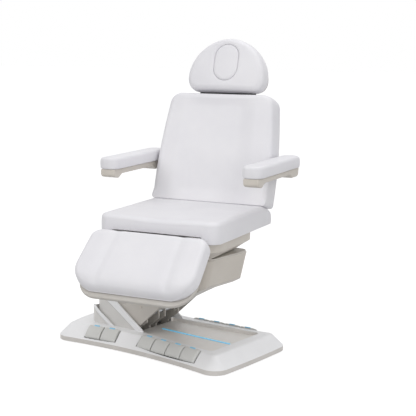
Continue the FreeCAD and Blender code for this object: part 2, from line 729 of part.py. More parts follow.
cut(bracket, "XZ_Plane", [ring(LOW_LINK[0], LOW_LINK[1], link_bore)], 80, 0, True)
keep(bracket)


def cross_pin(x, z, radius, half, head):
    """A pin lying across the lift, with a thin head at each end."""
    pin = rod((x, -half - 4, z), (0, 1, 0), radius, 2 * half + 8)
    for side in (-half - 4, half + 0.05):
        pin = pin.fuse(rod((x, side, z), (0, 1, 0), head, 3.95))
    return pin.removeSplitter()


cheek_outer = size["cheek_inner"] + size["plate_gauge"]
base_pins = [cross_pin(P[0], P[1], size["shaft_radius"], cheek_outer, 16),
             cross_pin(LOW_LINK[0], LOW_LINK[1], size["link_pin_radius"], 26, 11)]
keep(solid_piece("base_pins", Part.makeCompound(base_pins), BASE_FRAME))

L = size["arm_length"]
depth = size["arm_half_depth"]
bush_bore = size["bush_radius"] + size["run_gap"]
lift_half_sweep = math.radians(28)


def drive_rate(lever, half_sweep):
    """Rod travel for a radian of the lever, the straight line nearest to its sine."""
    return 1.015 * lever * math.sin(half_sweep) / half_sweep


def drive_height(lever, half_sweep):
    """How far the rod runs from the hinge: the middle of the lever pin's rise and fall."""
    return lever * (1 + math.cos(half_sweep)) / 2


def eye_play(lever, half_sweep):
    """Half the length by which an eye's slot passes its pin, across the rod."""
    return lever * (1 - math.cos(half_sweep)) / 2 + 0.6


arm = new_body("arm_frame", ARM_FRAME)
arm_side = box_outline(-depth - 2, L + depth + 2, -depth, depth, depth - 0.5)
pair(arm, "XZ_Plane", [arm_side], size["arm_inner"], size["plate_gauge"])
pad(arm, "XZ_Plane", [ring(112, -8, 10)], 2 * size["arm_inner"] + 2, 0, True)
pad(arm, "XZ_Plane", [ring(250, -8, 10)], 2 * size["arm_inner"] + 2, 0, True)
pad(arm, "XZ_Plane", [box_outline(60, 72, -12, 54, 3)], 61, -size["arm_inner"] - 1)
stud_start = size["arm_inner"] + size["plate_gauge"] - 1
stud_length = size["housing_half"] - 4 - stud_start
for spot in ((75, 0), (290, 0)):
    pair(arm, "XZ_Plane", [ring(spot[0], spot[1], 6)], stud_start, stud_length)
for x in (0, L):
    cut(arm, "XZ_Plane", [ring(x, 0, bush_bore)], 300, 0, True)
keep(arm)

bushes = []
for x in (0, L):
    for low in (-size["arm_inner"] - 7, size["arm_inner"] - 1):
        sleeve = rod((x, low, 0), (0, 1, 0), size["bush_radius"], 8)
        bushes.append(sleeve.cut(rod((x, low - 1, 0), (0, 1, 0), shaft_bore, 10)))
keep(solid_piece("arm_bushes", Part.makeCompound(bushes), ARM_FRAME))

tail = 165
tail_mid = tail / math.cos(math.radians(13.5))
zero = (0, 0)
housing_out = rounded(
    (-29, -34.5, 8), (137, -30.5, 30), (345, -74, 14), (418, -56, 30), (434, 28, 30),
    (371, 59.8, 16), (-55, 97, 0), (*polar(zero, tail, 125), 0),
    (*polar(zero, tail_mid, 138.5), tail), (*polar(zero, tail, 152), 0),
    (*polar(zero, 88, 152), 6))
tail_in = tail - 4
tail_in_mid = tail_in / math.cos(math.radians(13.5))
housing_in = rounded(
    (-90, -70), (104, -70), (104, -27), (137, -26.5), (345, -70), (470, -70), (470, 130),
    (318, 130), (318, 60.3), (-52, 92.8), (*polar(zero, tail_in, 126), 0),
    (*polar(zero, tail_in_mid, 138.5), tail_in), (*polar(zero, tail_in, 151), 0),
    (*polar(zero, tail_in, 165), 0))
housing = hood("arm_housing", ARM_FRAME, housing_out, housing_in, size["housing_half"], 4)
dress(housing, "Fillet", 2.5, lambda m, e: near(abs(m.y), size["housing_half"])
      and m.z < 40 and m.x > 50)
keep(housing)

caps = []
for side in (-1, 1):
    start = side * size["housing_half"]
    cap = rod((35.4, start, 32.9), (0, side, 0), 6, 2)
    caps.append(cap.cut(rod((35.4, start + side * 1, 32.9), (0, side, 0), 2.5, 2)))
keep(solid_piece("arm_screw_caps", Part.makeCompound(caps), ARM_FRAME))

link = new_body("level_link", LINK_FRAME)
pad(link, "XZ_Plane", [box_outline(-13, L + 13, -size["link_half_depth"],
                                   size["link_half_depth"], size["link_half_depth"] - 0.5)],
    2 * size["link_half"], 0, True)
for x in (0, L):
    cut(link, "XZ_Plane", [ring(x, 0, link_bore)], 80, 0, True)
keep(link)


def drive_body(label, placement, line, back, tube_end, box_length, gauge=22):
    """A linear drive lying along x on a line (y, z): a gear box, then a tube bored for its rod."""
    y, z = line
    shape = Part.makeBox(box_length, 2 * gauge, 2 * gauge, Vector(back, y - gauge, z - gauge))
    shape = shape.makeFillet(5, [e for e in shape.Edges if abs(chord(e).x) > 0.9])
    shape = shape.fuse(rod((back, y, z), (1, 0, 0), size["drive_tube"], tube_end - back))
    bore = size["drive_rod"] + 0.3
    shape = shape.cut(rod((back + box_length, y, z), (1, 0, 0), bore, tube_end - back))
    return solid_piece(label, shape.removeSplitter(), placement)


def drive_rod(label, placement, line, start, eye_x, play):
    """A drive's rod along x, ending in an eye whose slot runs along z."""
    y, z = line
    shape = rod((start, y, z), (1, 0, 0), size["drive_rod"], eye_x - start)
    pin = size["lever_pin_radius"]
    reach_x = pin + size["eye_slack"]
    reach_z = pin + play
    shape = shape.fuse(Part.makeBox(2 * reach_x + 16, 18, 2 * reach_z + 14,
                                    Vector(eye_x - reach_x - 8, y - 9, z - reach_z - 7)))
    slot = Part.makeBox(2 * reach_x, 30, 2 * reach_z, Vector(eye_x - reach_x, y - 15, z - reach_z))
    slot = slot.makeFillet(min(reach_x, reach_z) - 0.2,
                           [e for e in slot.Edges if abs(chord(e).y) > 0.9])
    return solid_piece(label, shape.cut(slot).removeSplitter(), placement)


lift_rate = drive_rate(size["lift_lever"], lift_half_sweep)
lift_z = drive_height(size["lift_lever"], lift_half_sweep)
lift_line = (size["drive_offset"], lift_z)
keep(drive_body("lift_motor", ARM_FRAME, lift_line, 72, L - 66, 48, 20))
lift_eye = L + lift_rate * math.radians(10)
keep(drive_rod("lift_rod", ARM_FRAME, lift_line, 160, lift_eye,
               eye_play(size["lift_lever"], lift_half_sweep)))

# ---- Lift head, swivel ----

HEAD_FRAME = BASE_FRAME.multiply(Placement(Vector(HIGH_PIVOT[0], 0, HIGH_PIVOT[1]), Rotation()))
head_low = size["head_top"] - HIGH_PIVOT[1]
plate = 8
axis_x = size["swivel_reach"] - HIGH_PIVOT[0]
K = (HIGH_LINK[0] - HIGH_PIVOT[0], HIGH_LINK[1] - HIGH_PIVOT[1])
pin_at = (LIFT_PIN[0] - HIGH_PIVOT[0], LIFT_PIN[1] - HIGH_PIVOT[1])
head = new_body("carrier_head", HEAD_FRAME)
pad(head, "XY_Plane", [rounded((axis_x - 112, -118, 60), (366 - HIGH_PIVOT[0], -150, 40),
                               (366 - HIGH_PIVOT[0], 150, 40), (axis_x - 112, 118, 60))],
    plate, head_low)
pair(head, "XZ_Plane", [rounded((-58, head_low + 1), (-24, -24, 23.8), (24, -24, 23.8),
                                (58, head_low + 1))], size["cheek_inner"], size["plate_gauge"])
pair(head, "XZ_Plane", [rounded((-55, head_low + 1), (K[0] - 14, K[1] - 8, 12), (-18, -20, 16),
                                (20, -20, 18), (50, head_low + 1))], 20, size["plate_gauge"])
lever = rounded((pin_at[0] - 26, head_low + 1), (pin_at[0] - 13, pin_at[1] - 13, 12),
                (pin_at[0] + 13, pin_at[1] - 13, 12), (pin_at[0] + 26, head_low + 1))
for start in (size["drive_offset"] - 15, size["drive_offset"] + 11):
    pad(head, "XZ_Plane", [lever], 4, -start - 4)
pad(head, "XY_Plane", [ring(axis_x, 0, size["spigot_radius"] - 0.08)], 36, head_low)
cut(head, "XY_Plane", [ring(axis_x, 0, 26)], 60, head_low - 10)
cut(head, "XZ_Plane", [ring(0, 0, shaft_bore)], 300, 0, True)
cut(head, "XZ_Plane", [ring(K[0], K[1], link_bore)], 80, 0, True)
cut(head, "XZ_Plane", [ring(pin_at[0], pin_at[1], size["lever_pin_radius"] + size["run_gap"])],
    40, -size["drive_offset"] - 20)
keep(head)

lever_pin = rod((pin_at[0], size["drive_offset"] - 18, pin_at[1]), (0, 1, 0),
                size["lever_pin_radius"], 36)
race_top = size["head_top"] + plate + size["race_height"]
carrier_pins = [cross_pin(0, 0, size["shaft_radius"], cheek_outer, 16),
                cross_pin(K[0], K[1], size["link_pin_radius"], 26, 11),
                lever_pin]
collar_low = race_top + size["race_gap"] + 8 + 0.3 - HIGH_PIVOT[1]
collar = rod((axis_x, 0, collar_low), (0, 0, 1), 46, 5)
collar = collar.cut(rod((axis_x, 0, collar_low - 1), (0, 0, 1), size["spigot_radius"], 8))
carrier_pins.append(collar)
keep(solid_piece("carrier_pins", Part.makeCompound(carrier_pins), HEAD_FRAME))

race = rod((axis_x, 0, head_low + plate), (0, 0, 1), size["race_radius"], size["race_height"])
race = race.cut(rod((axis_x, 0, head_low), (0, 0, 1), size["spigot_radius"] + 12, 40))
keep(solid_piece("swivel_bearing", race, HEAD_FRAME))

def end_plan(end, half, radius):
    """The plan of the head cover's end, leaning out with its end face."""
    outline = rounded((0, -half), (end, -half, radius), (end, half, radius), (0, half))
    face = Part.Face(Part.Wire([edge.toShape() for edge in outline]))
    face.translate(Vector(0, 0, 300))
    return face.extrude(Vector(200 * 34 / 127, 0, 200))


head_cover = round_hood(rounded((100, size["head_top"]), (264, 312, 10), (333, 348, 16),
                                (367, size["head_top"])),
                        rounded((80, 490), (80, 470), (250, 300), (262, 316.5), (330, 351.5, 12),
                                (380, 490)),
                        end_plan(320.2, hood_half, 38), end_plan(315, hood_half - 5, 33),
                        hood_half, 5)
keep(solid_piece("carrier_cover", head_cover, BASE_FRAME))

# ---- Seat ----

turntable = new_body("swivel_plate", CHAIR_FRAME)
pad(turntable, "XY_Plane", [ring(0, 0, size["race_radius"] + 5)], 8, race_top + size["race_gap"])
cut(turntable, "XY_Plane", [ring(0, 0, size["spigot_radius"])], 60, race_top - 10)
keep(turntable)

deck = race_top + size["race_gap"] + 8
frame_top = size["frame_top"]
pin_bore = size["hinge_pin_radius"] + size["run_gap"]
H2 = BACK_HINGE
H1 = LEG_HINGE
back_x = -60
leg_x = 60
seat_frame = new_body("seat_frame", CHAIR_FRAME)
pad(seat_frame, "XY_Plane", [box_outline(-148, 148, -110, 98, 6)], 8, deck)
cut(seat_frame, "XY_Plane", [ring(0, 0, 49)], 40, deck - 10)
pair(seat_frame, "YZ_Plane", [rounded((-238, deck), (95, deck), (138, 533), (150, 542),
                                      (150, frame_top), (-290, frame_top), (-290, 541),
                                      (-280, 533))], 118, 30)
pad(seat_frame, "YZ_Plane", [box_outline(-297, -280, 541, frame_top - 1)], 344, 0, True)
pad(seat_frame, "YZ_Plane", [box_outline(-205, -193, deck, 560)], 140, -119)
pad(seat_frame, "YZ_Plane", [box_outline(60, 72, deck, 560)], 100, 19)
pad(seat_frame, "YZ_Plane", [box_outline(80, 92, deck, 528)], 240, 0, True)
leg_ear = rounded((-284, 542), (-284, 572), (-287, 572), (-287, H1[1] + 15, 2),
                  (H1[0] - 15, H1[1] + 15, 14.9), (H1[0] - 15, H1[1] - 15, 14.9),
                  (-297, H1[1] - 15), (-297, 542))
pair(seat_frame, "YZ_Plane", [leg_ear], 166, 6)
back_ear = rounded((100, 540), (100, 572), (198, 572), (H2[0] - 15.5, H2[1] + 15.5, 15),
                   (H2[0] + 15.5, H2[1] + 15.5, 15), (H2[0] + 15.5, H2[1] - 15.5, 15),
                   (190, 540))
pair(seat_frame, "YZ_Plane", [back_ear], 124, 8)
cut(seat_frame, "YZ_Plane", [ring(H1[0], H1[1], pin_bore)], 400, 0, True)
cut(seat_frame, "YZ_Plane", [ring(H2[0], H2[1], pin_bore)], 400, 0, True)
cut(seat_frame, "XY_Plane", [box_outline(leg_x - 19, leg_x + 19, -300, -278)], 60, 530)
keep(seat_frame)

sh = size["shell_half"]
sf = -size["shell_front"]
sr = size["shell_rear"]
low = size["shell_bottom"]
brk = low + size["shell_break"]
seat_shell = new_body("seat_shell", CHAIR_FRAME)


def shell_plan(inset, radius):
    """The plan of the seat shell, moved in by an inset."""
    return box_outline(-sh + inset, sh - inset, sf + inset, sr - inset, radius)


def loft(body, kind, low_outline, low_level, high_outline, high_level):
    """A loft between two level outlines, added or taken away."""
    feature = body.newObject("PartDesign::" + kind, body.Label + "_loft")
    feature.Profile = new_sketch(body, "XY_Plane", [low_outline], low_level)
    feature.Sections = [new_sketch(body, "XY_Plane", [high_outline], high_level)]
    feature.Ruled = True
    body.Tip = feature
    return feature


loft(seat_shell, "AdditiveLoft", shell_plan(70, 44), low, shell_plan(0, 100), brk)
pad(seat_shell, "XY_Plane", [shell_plan(0, 100)], 575 - brk, brk)
loft(seat_shell, "SubtractiveLoft", shell_plan(73, 42), low + 4, shell_plan(4, 96), brk + 1)
cut(seat_shell, "XY_Plane", [shell_plan(4, 96)], 80, brk + 1)
cut(seat_shell, "XY_Plane", [ring(0, 0, 115)], 20, low - 5)
for spot in ((-133, -170), (133, -170), (-133, 80), (133, 80)):
    pad(seat_shell, "XY_Plane", [ring(spot[0], spot[1], 9)], deck - low - 1, low + 1)
for x in (-132, 132):
    cut(seat_shell, "XY_Plane", [box_outline(x - 9, x + 9, sr - 14, sr + 4)], 60, 537)
cut(seat_shell, "XY_Plane", [box_outline(-82, -38, sr - 14, sr + 4)], 60, 530)
cut(seat_shell, "XY_Plane", [box_outline(36, 84, sf - 4, sf + 14)], 60, 518)
keep(seat_shell)

board = new_body("seat_board", CHAIR_FRAME)
pad(board, "XY_Plane", [box_outline(-262, 262, -286, 150, 90)], "dims.board_thick", frame_top)
keep(board)

hinge_pins = []
for side in (-1, 1):
    x = 150 if side > 0 else -176
    hinge_pins.append(rod((x, H1[0], H1[1]), (1, 0, 0), size["hinge_pin_radius"], 26))
    x = 104 if side > 0 else -134
    hinge_pins.append(rod((x, H2[0], H2[1]), (1, 0, 0), size["hinge_pin_radius"], 30))
keep(solid_piece("seat_hinge_pins", Part.makeCompound(hinge_pins), CHAIR_FRAME))

# A drive lies along x in its own frame: this one looks along the chair's y instead.
REAR_DRIVE = CHAIR_FRAME.multiply(Placement(Vector(0, 0, 0), Rotation(Vector(0, 0, 1), 90)))
FRONT_DRIVE = CHAIR_FRAME.multiply(Placement(Vector(0, 0, 0), Rotation(Vector(0, 0, 1), -90)))
back_half = math.radians(size["back_travel"] / 2)
leg_half = math.radians(LEG_SWING / 2)
back_rate = drive_rate(size["back_lever"], back_half)
leg_rate = drive_rate(size["leg_lever"], leg_half)
back_line = (-back_x, H2[1] - drive_height(size["back_lever"], back_half))
leg_line = (leg_x, H1[1] - drive_height(size["leg_lever"], leg_half))
keep(drive_body("back_motor", REAR_DRIVE, back_line, -193, 142, 48, 19))
keep(drive_rod("back_rod", REAR_DRIVE, back_line, -20,
               H2[0] + back_rate * back_half, eye_play(size["back_lever"], back_half)))
keep(drive_body("leg_motor", FRONT_DRIVE, leg_line, -60, 255, 48, 19))
leg_rest_angle = math.radians(4)
keep(drive_rod("leg_rod", FRONT_DRIVE, leg_line, 90,
               -H1[0] - leg_rate * leg_rest_angle, eye_play(size["leg_lever"], leg_half)))

top = size["seat_top"]
soft_low = frame_top + size["board_thick"] + size["soft_gap"]
foot = size["back_foot_y"]
lean = math.radians(size["back_lean"])
over = (H2[0] + 51 * math.sin(lean), H2[1] + 51 * math.cos(lean))
fold = (over[0] - (top - over[1]) / math.tan(lean), top)
rear = size["seat_rear"]
rear_top = H2[1] + math.sqrt(51 ** 2 - (rear - H2[0]) ** 2)
half_way = polar((H2[0], H2[1]), 51, 52)
seat_side = [Part.LineSegment(Vector(-size["seat_front"], soft_low, 0), Vector(rear, soft_low, 0)),
             Part.LineSegment(Vector(rear, soft_low, 0), Vector(rear, rear_top, 0)),
             Part.Arc(Vector(rear, rear_top, 0), Vector(half_way[0], half_way[1], 0),
                      Vector(over[0], over[1], 0)),
             Part.LineSegment(Vector(over[0], over[1], 0), Vector(fold[0], fold[1], 0)),
             Part.LineSegment(Vector(fold[0], fold[1], 0), Vector(-size["seat_front"], top, 0)),
             Part.LineSegment(Vector(-size["seat_front"], top, 0),
                              Vector(-size["seat_front"], soft_low, 0))]
seat_pad = new_body("seat_pad", CHAIR_FRAME)
pad(seat_pad, "YZ_Plane", [seat_side], 2 * size["seat_half"], 0, True)
dress(seat_pad, "Fillet", 55, lambda m, e: upright(m, e) and near(m.y, -size["seat_front"]))
dress(seat_pad, "Fillet", 22, lambda m, e: (near(m.z, top) and m.y < foot - 10)
      or (m.z > 650 and near(abs(m.x), size["seat_half"])))
cut(seat_pad, "YZ_Plane", [box_outline(-size["seat_front"] - 5, -284, soft_low - 5, 612, 0)],
    440, 0, True)
cut(seat_pad, "YZ_Plane", [box_outline(193, rear + 5, soft_low - 5, 630, 0)], 480, 0, True)
cut(seat_pad, "XY_Plane", [box_outline(back_x - 18, back_x + 18, 180, 200)], 24, soft_low - 5)
keep(seat_pad)

# ---- Back ----

BL = size["back_length"]
BT = size["back_thick"]
low_half = size["back_low_half"]
high_half = size["back_high_half"]
back_pad = new_body("back_pad", BACK_FRAME)
pad(back_pad, "XZ_Plane", [rounded((-low_half, 0, 18), (low_half, 0, 18),
                                   (high_half, BL, 46), (-high_half, BL, 46))], BT, -BT)
dish_half = 154.66
cut(back_pad, "XY_Plane", [[Part.Arc(Vector(-dish_half, 0, 0), Vector(0, 13, 0),
                                     Vector(dish_half, 0, 0)),
                            Part.LineSegment(Vector(dish_half, 0, 0), Vector(dish_half, -20, 0)),
                            Part.LineSegment(Vector(dish_half, -20, 0),
                                             Vector(-dish_half, -20, 0)),
                            Part.LineSegment(Vector(-dish_half, -20, 0),
                                             Vector(-dish_half, 0, 0))]], 900, -100)
dress(back_pad, "Fillet", 12, lambda m, e: near(m.y, BT))
dress(back_pad, "Fillet", 16, lambda m, e: m.y < 14 and (m.z > 500 or abs(m.x) > 200 or m.z < 40))
keep(back_pad)

BS = BT + size["soft_gap"]
BE = BT + size["back_shell_depth"]
back_shell = new_body("back_shell", BACK_FRAME)
outer = rounded((-low_half + 13, 6, 14), (low_half - 13, 6, 14), (high_half - 14, BL - 10, 40),
                (-high_half + 14, BL - 10, 40))
inner = rounded((-low_half + 17, -30, 0), (low_half - 17, -30, 0), (high_half - 18, BL - 14, 36),
                (-high_half + 18, BL - 14, 36))
pad(back_shell, "XZ_Plane", [outer], BE - BS, -BE)
dress(back_shell, "Fillet", 24, lambda m, e: near(m.y, BE))
cut(back_shell, "XZ_Plane", [inner], BE - 4 - BS + 20, -BE + 4)
for x in (-124, 124):
    pad(back_shell, "XZ_Plane", [box_outline(x - 12, x + 12, 300, 340)], BE - 141, -BE + 1)
pivot = in_back((size["rest_pivot_y"], size["rest_pivot_z"]))
bar_z = pivot[1]
cut(back_shell, "YZ_Plane", [box_outline(BS - 2, 143.5, bar_z - 13.5, bar_z + 13.5)], 800, 0, True)
for x in (-size["post_spread"], size["post_spread"]):
    cut(back_shell, "XY_Plane", [ring(x, 118, size["post_radius"] + 1)], 60, BL - 40)
keep(back_shell)

hinge = in_back(H2)
pin = in_back(BACK_PIN)
back_frame = new_body("back_frame", BACK_FRAME)
lug = rounded((hinge[0] - 15.5, hinge[1] + 15.5, 15), (hinge[0] - 15.5, hinge[1] - 15.5, 15),
              (126, hinge[1] - 15.5, 12), (140, -22, 10), (140, BL - 35), (114, BL - 35), (114, -34, 6))
pad(back_frame, "YZ_Plane", [ring(hinge[0], hinge[1], size["hinge_tube"])], 230, 0, True)
pair(back_frame, "YZ_Plane", [lug], 112, 6)
for start in (back_x - 15, back_x + 11):
    pad(back_frame, "YZ_Plane", [strap(hinge, pin, 12)], 4, start)
pad(back_frame, "YZ_Plane", [box_outline(120, 134, 20, 44)], 226, 0, True)
pad(back_frame, "YZ_Plane", [box_outline(120, 134, bar_z - 12, bar_z + 12)], 226, 0, True)
pad(back_frame, "YZ_Plane", [box_outline(BS + 0.2, 132, BL - 105, BL - 35)], 226, 0, True)
cut(back_frame, "YZ_Plane", [ring(hinge[0], hinge[1], pin_bore)], 400, 0, True)
cut(back_frame, "YZ_Plane", [ring(pin[0], pin[1], size["lever_pin_radius"] - 0.5)], 4.5,
    back_x - 15.2)
post_y = BT + size["post_radius"]
for x in (-size["post_spread"], size["post_spread"]):
    cut(back_frame, "XY_Plane", [ring(x, post_y + 1, size["post_radius"] + size["run_gap"])],
        120, BL - 135)
pad(back_frame, "YZ_Plane", [ring(pin[0], pin[1], size["lever_pin_radius"])], 30, back_x - 15)
keep(back_frame)

brackets = []
for side in (-1, 1):
    def span(inner_x, outer_x):
        """The x range of something on this side."""
        return (inner_x, outer_x) if side > 0 else (-outer_x, -inner_x)
    low_x, high_x = span(118, 314)
    bracket_bar = Part.makeBox(high_x - low_x, 24, 24, Vector(low_x, 118, bar_z - 12))
    low_x, high_x = span(303, 314)
    ear_wire = Part.Wire([e.toShape() for e in strap(pivot, (128, bar_z), 14)])
    ear = Part.Face(ear_wire).extrude(Vector(0, 0, high_x - low_x))
    ear.Placement = Placement(Vector(low_x, 0, 0), Rotation(Vector(1, 1, 1), 120))
    low_x, high_x = span(304, 352)
    stub = rod((low_x, pivot[0], pivot[1]), (1, 0, 0), 10, high_x - low_x)
    brackets.append(bracket_bar.fuse([ear, stub]).removeSplitter())
keep(solid_piece("arm_brackets", Part.makeCompound(brackets), BACK_FRAME))

# ---- Leg rest ----

leg_hinge = in_leg(H1)
leg_pin = in_leg(LEG_PIN)
LT = size["leg_thick"]
LB = LT + size["soft_gap"]
LU = LT + size["leg_board_thick"]
leg_frame = new_body("leg_frame", LEG_FRAME)
hy, hz = leg_hinge
pad(leg_frame, "YZ_Plane", [ring(hy, hz, size["hinge_tube"])], 326, 0, True)
leg_lug = rounded((hy + 15, hz + 15, 14.5), (hy - 14.5, hz + 15, 11), (hy - 14.5, -77),
                  (-25, -77), (-25, -LU), (-150, -LU), (-150, -LU - 7), (-12, -LU - 7, 6),
                  (hy - 4, hz - 15, 6), (hy + 15, hz - 15, 14.5))
pair(leg_frame, "YZ_Plane", [leg_lug], 157, 6)
pad(leg_frame, "YZ_Plane", [box_outline(-150, -126, -LU - 7, -LU)], 326, 0, True)
for start in (leg_x - 15, leg_x + 11):
    pad(leg_frame, "YZ_Plane", [strap(leg_hinge, leg_pin, 11.5)], 4, start)
cut(leg_frame, "YZ_Plane", [ring(hy, hz, pin_bore)], 400, 0, True)
pad(leg_frame, "YZ_Plane", [ring(leg_pin[0], leg_pin[1], size["lever_pin_radius"])], 30, leg_x - 15)
keep(leg_frame)

leg_board = new_body("leg_board", LEG_FRAME)
pad(leg_board, "XY_Plane", [rounded((-262, -28, 30), (-276, -312, 62), (276, -312, 62),
                                    (262, -28, 30))], LU - LB, -LU)
dress(leg_board, "Fillet", 5, lambda m, e: near(m.z, -LU))
keep(leg_board)

leg_pad = new_body("leg_pad", LEG_FRAME)
LL = size["leg_length"]
pad(leg_pad, "XY_Plane", [rounded((-size["leg_high_half"], 0, 50), (-size["leg_low_half"], -LL, 85),
                                  (size["leg_low_half"], -LL, 85), (size["leg_high_half"], 0, 50))],
    "dims.leg_thick", -LT)
dress(leg_pad, "Fillet", 22, lambda m, e: near(m.z, 0))
dress(leg_pad, "Fillet", 10, lambda m, e: near(m.z, -LT))
keep(leg_pad)

# ---- Arms ----

rest_low = size["rest_top"] - size["rest_thick"]
for name, side in (("left", 1), ("right", -1)):
    middle = side * size["arm_middle"]
    frame = CHAIR_FRAME.multiply(Placement(Vector(middle, 0, 0), Rotation()))
    casing = new_body("arm_casing_" + name, frame)
    cl = rest_low - size["soft_gap"]
    pad(casing, "YZ_Plane",
        [rounded((-136, cl, 4), (-136, cl - 34, 16), (-92, cl - 44, 14), (-58, cl - 26, 20),
                 (236, cl - 26, 20), (264, cl - 44, 14), (338, cl - 44, 20), (346, cl, 4))],
        2 * size["casing_half"], 0, True)
    dress(casing, "Fillet", 8, lambda m, e: near(abs(m.x), size["casing_half"])
          and m.z < cl - 8)
    inner_face = -side * size["casing_half"]
    start = inner_face - 1 if side > 0 else inner_face - 26
    cut(casing, "YZ_Plane", [ring(size["rest_pivot_y"], size["rest_pivot_z"], 10.05)], 27, start)
    keep(casing)
    arm_pad = new_body("arm_pad_" + name, frame)
    pad(arm_pad, "XY_Plane", [box_outline(-size["rest_half"], size["rest_half"],
                                          -size["rest_front"], size["rest_rear"], 42)],
        "dims.rest_thick", rest_low)
    dress(arm_pad, "Fillet", 20, lambda m, e: near(m.z, size["rest_top"]))
    dress(arm_pad, "Fillet", 10, lambda m, e: near(m.z, rest_low))
    keep(arm_pad)

# ---- Headrest ----

HF = BL + size["head_gap"]
HW = size["head_half"]
HH = size["head_height"]
face = size["head_set_back"]
back_of = face + size["head_thick"]


def head_plan(inset):
    """The front view of the headrest, a flat-bottomed half disc, moved in by an inset."""
    shoulder = size["head_shoulder"]
    crown = size["head_crown"]
    slope = math.atan2(HW - crown, HH - shoulder)
    top_turn = math.tan((math.pi / 2 - slope) / 2)
    side_turn = math.tan(slope / 2)
    top_round = 0.995 * crown / top_turn
    side_reach = 0.99 * (math.hypot(HW - crown, HH - shoulder) - 0.995 * crown)
    side_round = side_reach / side_turn - inset
    low_round = shoulder - side_reach - 1 - inset
    side_z = HF + shoulder - inset * side_turn
    top_x = crown - inset * top_turn
    return rounded((-HW + inset, HF + inset, low_round), (HW - inset, HF + inset, low_round),
                   (HW - inset, side_z, side_round),
                   (top_x, HF + HH - inset, top_round - inset),
                   (-top_x, HF + HH - inset, top_round - inset),
                   (-HW + inset, side_z, side_round))


def upright_oval(grow):
    """The face hole as a smooth closed outline of four arcs."""
    a = size["plug_half_height"] + grow
    b = size["plug_half_width"] + grow
    z = HF + size["plug_rise"]
    return rounded((-b, z - a, b * 0.985), (b, z - a, b * 0.985), (b, z + a, b * 0.985),
                   (-b, z + a, b * 0.985))


head_pad = new_body("headrest_pad", BACK_FRAME)
pad(head_pad, "XZ_Plane", [head_plan(0)], size["head_thick"], -back_of)
dress(head_pad, "Fillet", 26, lambda m, e: near(m.y, face))
dress(head_pad, "Fillet", 10, lambda m, e: near(m.y, back_of))
cut(head_pad, "XZ_Plane", [upright_oval(size["plug_gap"])], 200, 0, True)
keep(head_pad)

head_board = new_body("headrest_board", BACK_FRAME)
board_start = back_of + size["soft_gap"]
pad(head_board, "XZ_Plane", [head_plan(22)], BT - board_start, -BT)
cut(head_board, "XZ_Plane", [upright_oval(-9)], 400, 0, True)
dress(head_board, "Fillet", 4, lambda m, e: near(m.y, BT) and math.hypot(
    m.x, m.z - HF - size["plug_rise"]) > 95)
keep(head_board)

plug = new_body("face_plug", BACK_FRAME)
pad(plug, "XZ_Plane", [upright_oval(0)], size["head_thick"] - 2, -back_of)
dress(plug, "Fillet", 9, lambda m, e: near(m.y, face + 2))
keep(plug)

posts = []
for x in (-size["post_spread"], size["post_spread"]):
    posts.append(rod((x, post_y + 1, 300), (0, 0, 1), size["post_radius"], 400))
crosspiece = Part.makeBox(170, 8, 46, Vector(-85, BT, 640))
headrest_posts = crosspiece.fuse(posts).removeSplitter()
keep(solid_piece("headrest_posts", headrest_posts, BACK_FRAME))

# ---- Export ----

doc.recompute()
problems = []
for item in doc.Objects:
    if "Invalid" in item.State or "Error" in item.State:
        problems.append(item.Name)
os.makedirs("parts", exist_ok=True)
for piece in PIECES:
    if piece.Shape.isNull() or not piece.Shape.isValid():
        problems.append(piece.Label)
if problems:
    raise RuntimeError("not sound: " + ", ".join(problems))
for piece in PIECES:
    piece.Shape.exportStep("parts/%s.step" % piece.Label)
print(len(PIECES), "pieces")
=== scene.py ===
"""Electric treatment chair: finishes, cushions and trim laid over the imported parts.

Lengths here are metres in the row frame unless a name ends in mm. The cushions are modelled in
the frame of the part that carries them, in millimetres, and placed once at the end.
"""

import json
import math

import bpy
import numpy as np
from mathutils import Matrix, Vector


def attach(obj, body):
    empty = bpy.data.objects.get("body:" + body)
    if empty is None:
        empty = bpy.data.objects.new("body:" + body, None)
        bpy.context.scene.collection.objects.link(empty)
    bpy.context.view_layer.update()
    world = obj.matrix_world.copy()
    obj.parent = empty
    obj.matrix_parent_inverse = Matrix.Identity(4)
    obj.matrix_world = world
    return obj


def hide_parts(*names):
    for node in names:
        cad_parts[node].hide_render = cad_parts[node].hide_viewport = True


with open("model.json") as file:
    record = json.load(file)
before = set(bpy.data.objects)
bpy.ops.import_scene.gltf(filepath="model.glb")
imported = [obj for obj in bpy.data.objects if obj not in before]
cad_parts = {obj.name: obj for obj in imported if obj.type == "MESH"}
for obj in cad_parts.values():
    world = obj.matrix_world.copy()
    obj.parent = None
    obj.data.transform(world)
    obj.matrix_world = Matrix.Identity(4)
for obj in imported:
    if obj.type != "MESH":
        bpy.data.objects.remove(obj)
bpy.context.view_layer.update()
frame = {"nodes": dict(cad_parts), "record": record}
nodes = frame["nodes"]
scene = bpy.context.scene

# ---- Sizes in mm and frames of the carrying parts, the same as in the part's source ----

TURN = math.radians(12)
LEAN = math.radians(17)
DROP = math.radians(43)
SWIVEL_REACH = 133
SEAT_TOP, SEAT_HALF, SEAT_FRONT, SEAT_REAR = 680, 300, 332, 263
BACK_FOOT, BACK_LENGTH, BACK_LOW_HALF, BACK_HIGH_HALF = 168, 535, 303, 270
BACK_HINGE_Y, BACK_HINGE_Z = 220, 609
LEG_HEAD_Y, LEG_HEAD_Z, LEG_LENGTH = 382, 637, 335
ARM_MIDDLE, ARM_HALF, ARM_FRONT, ARM_REAR = 365.5, 50, 142, 353
HEAD_FOOT = 553
PEDAL_PITCH = 90.5

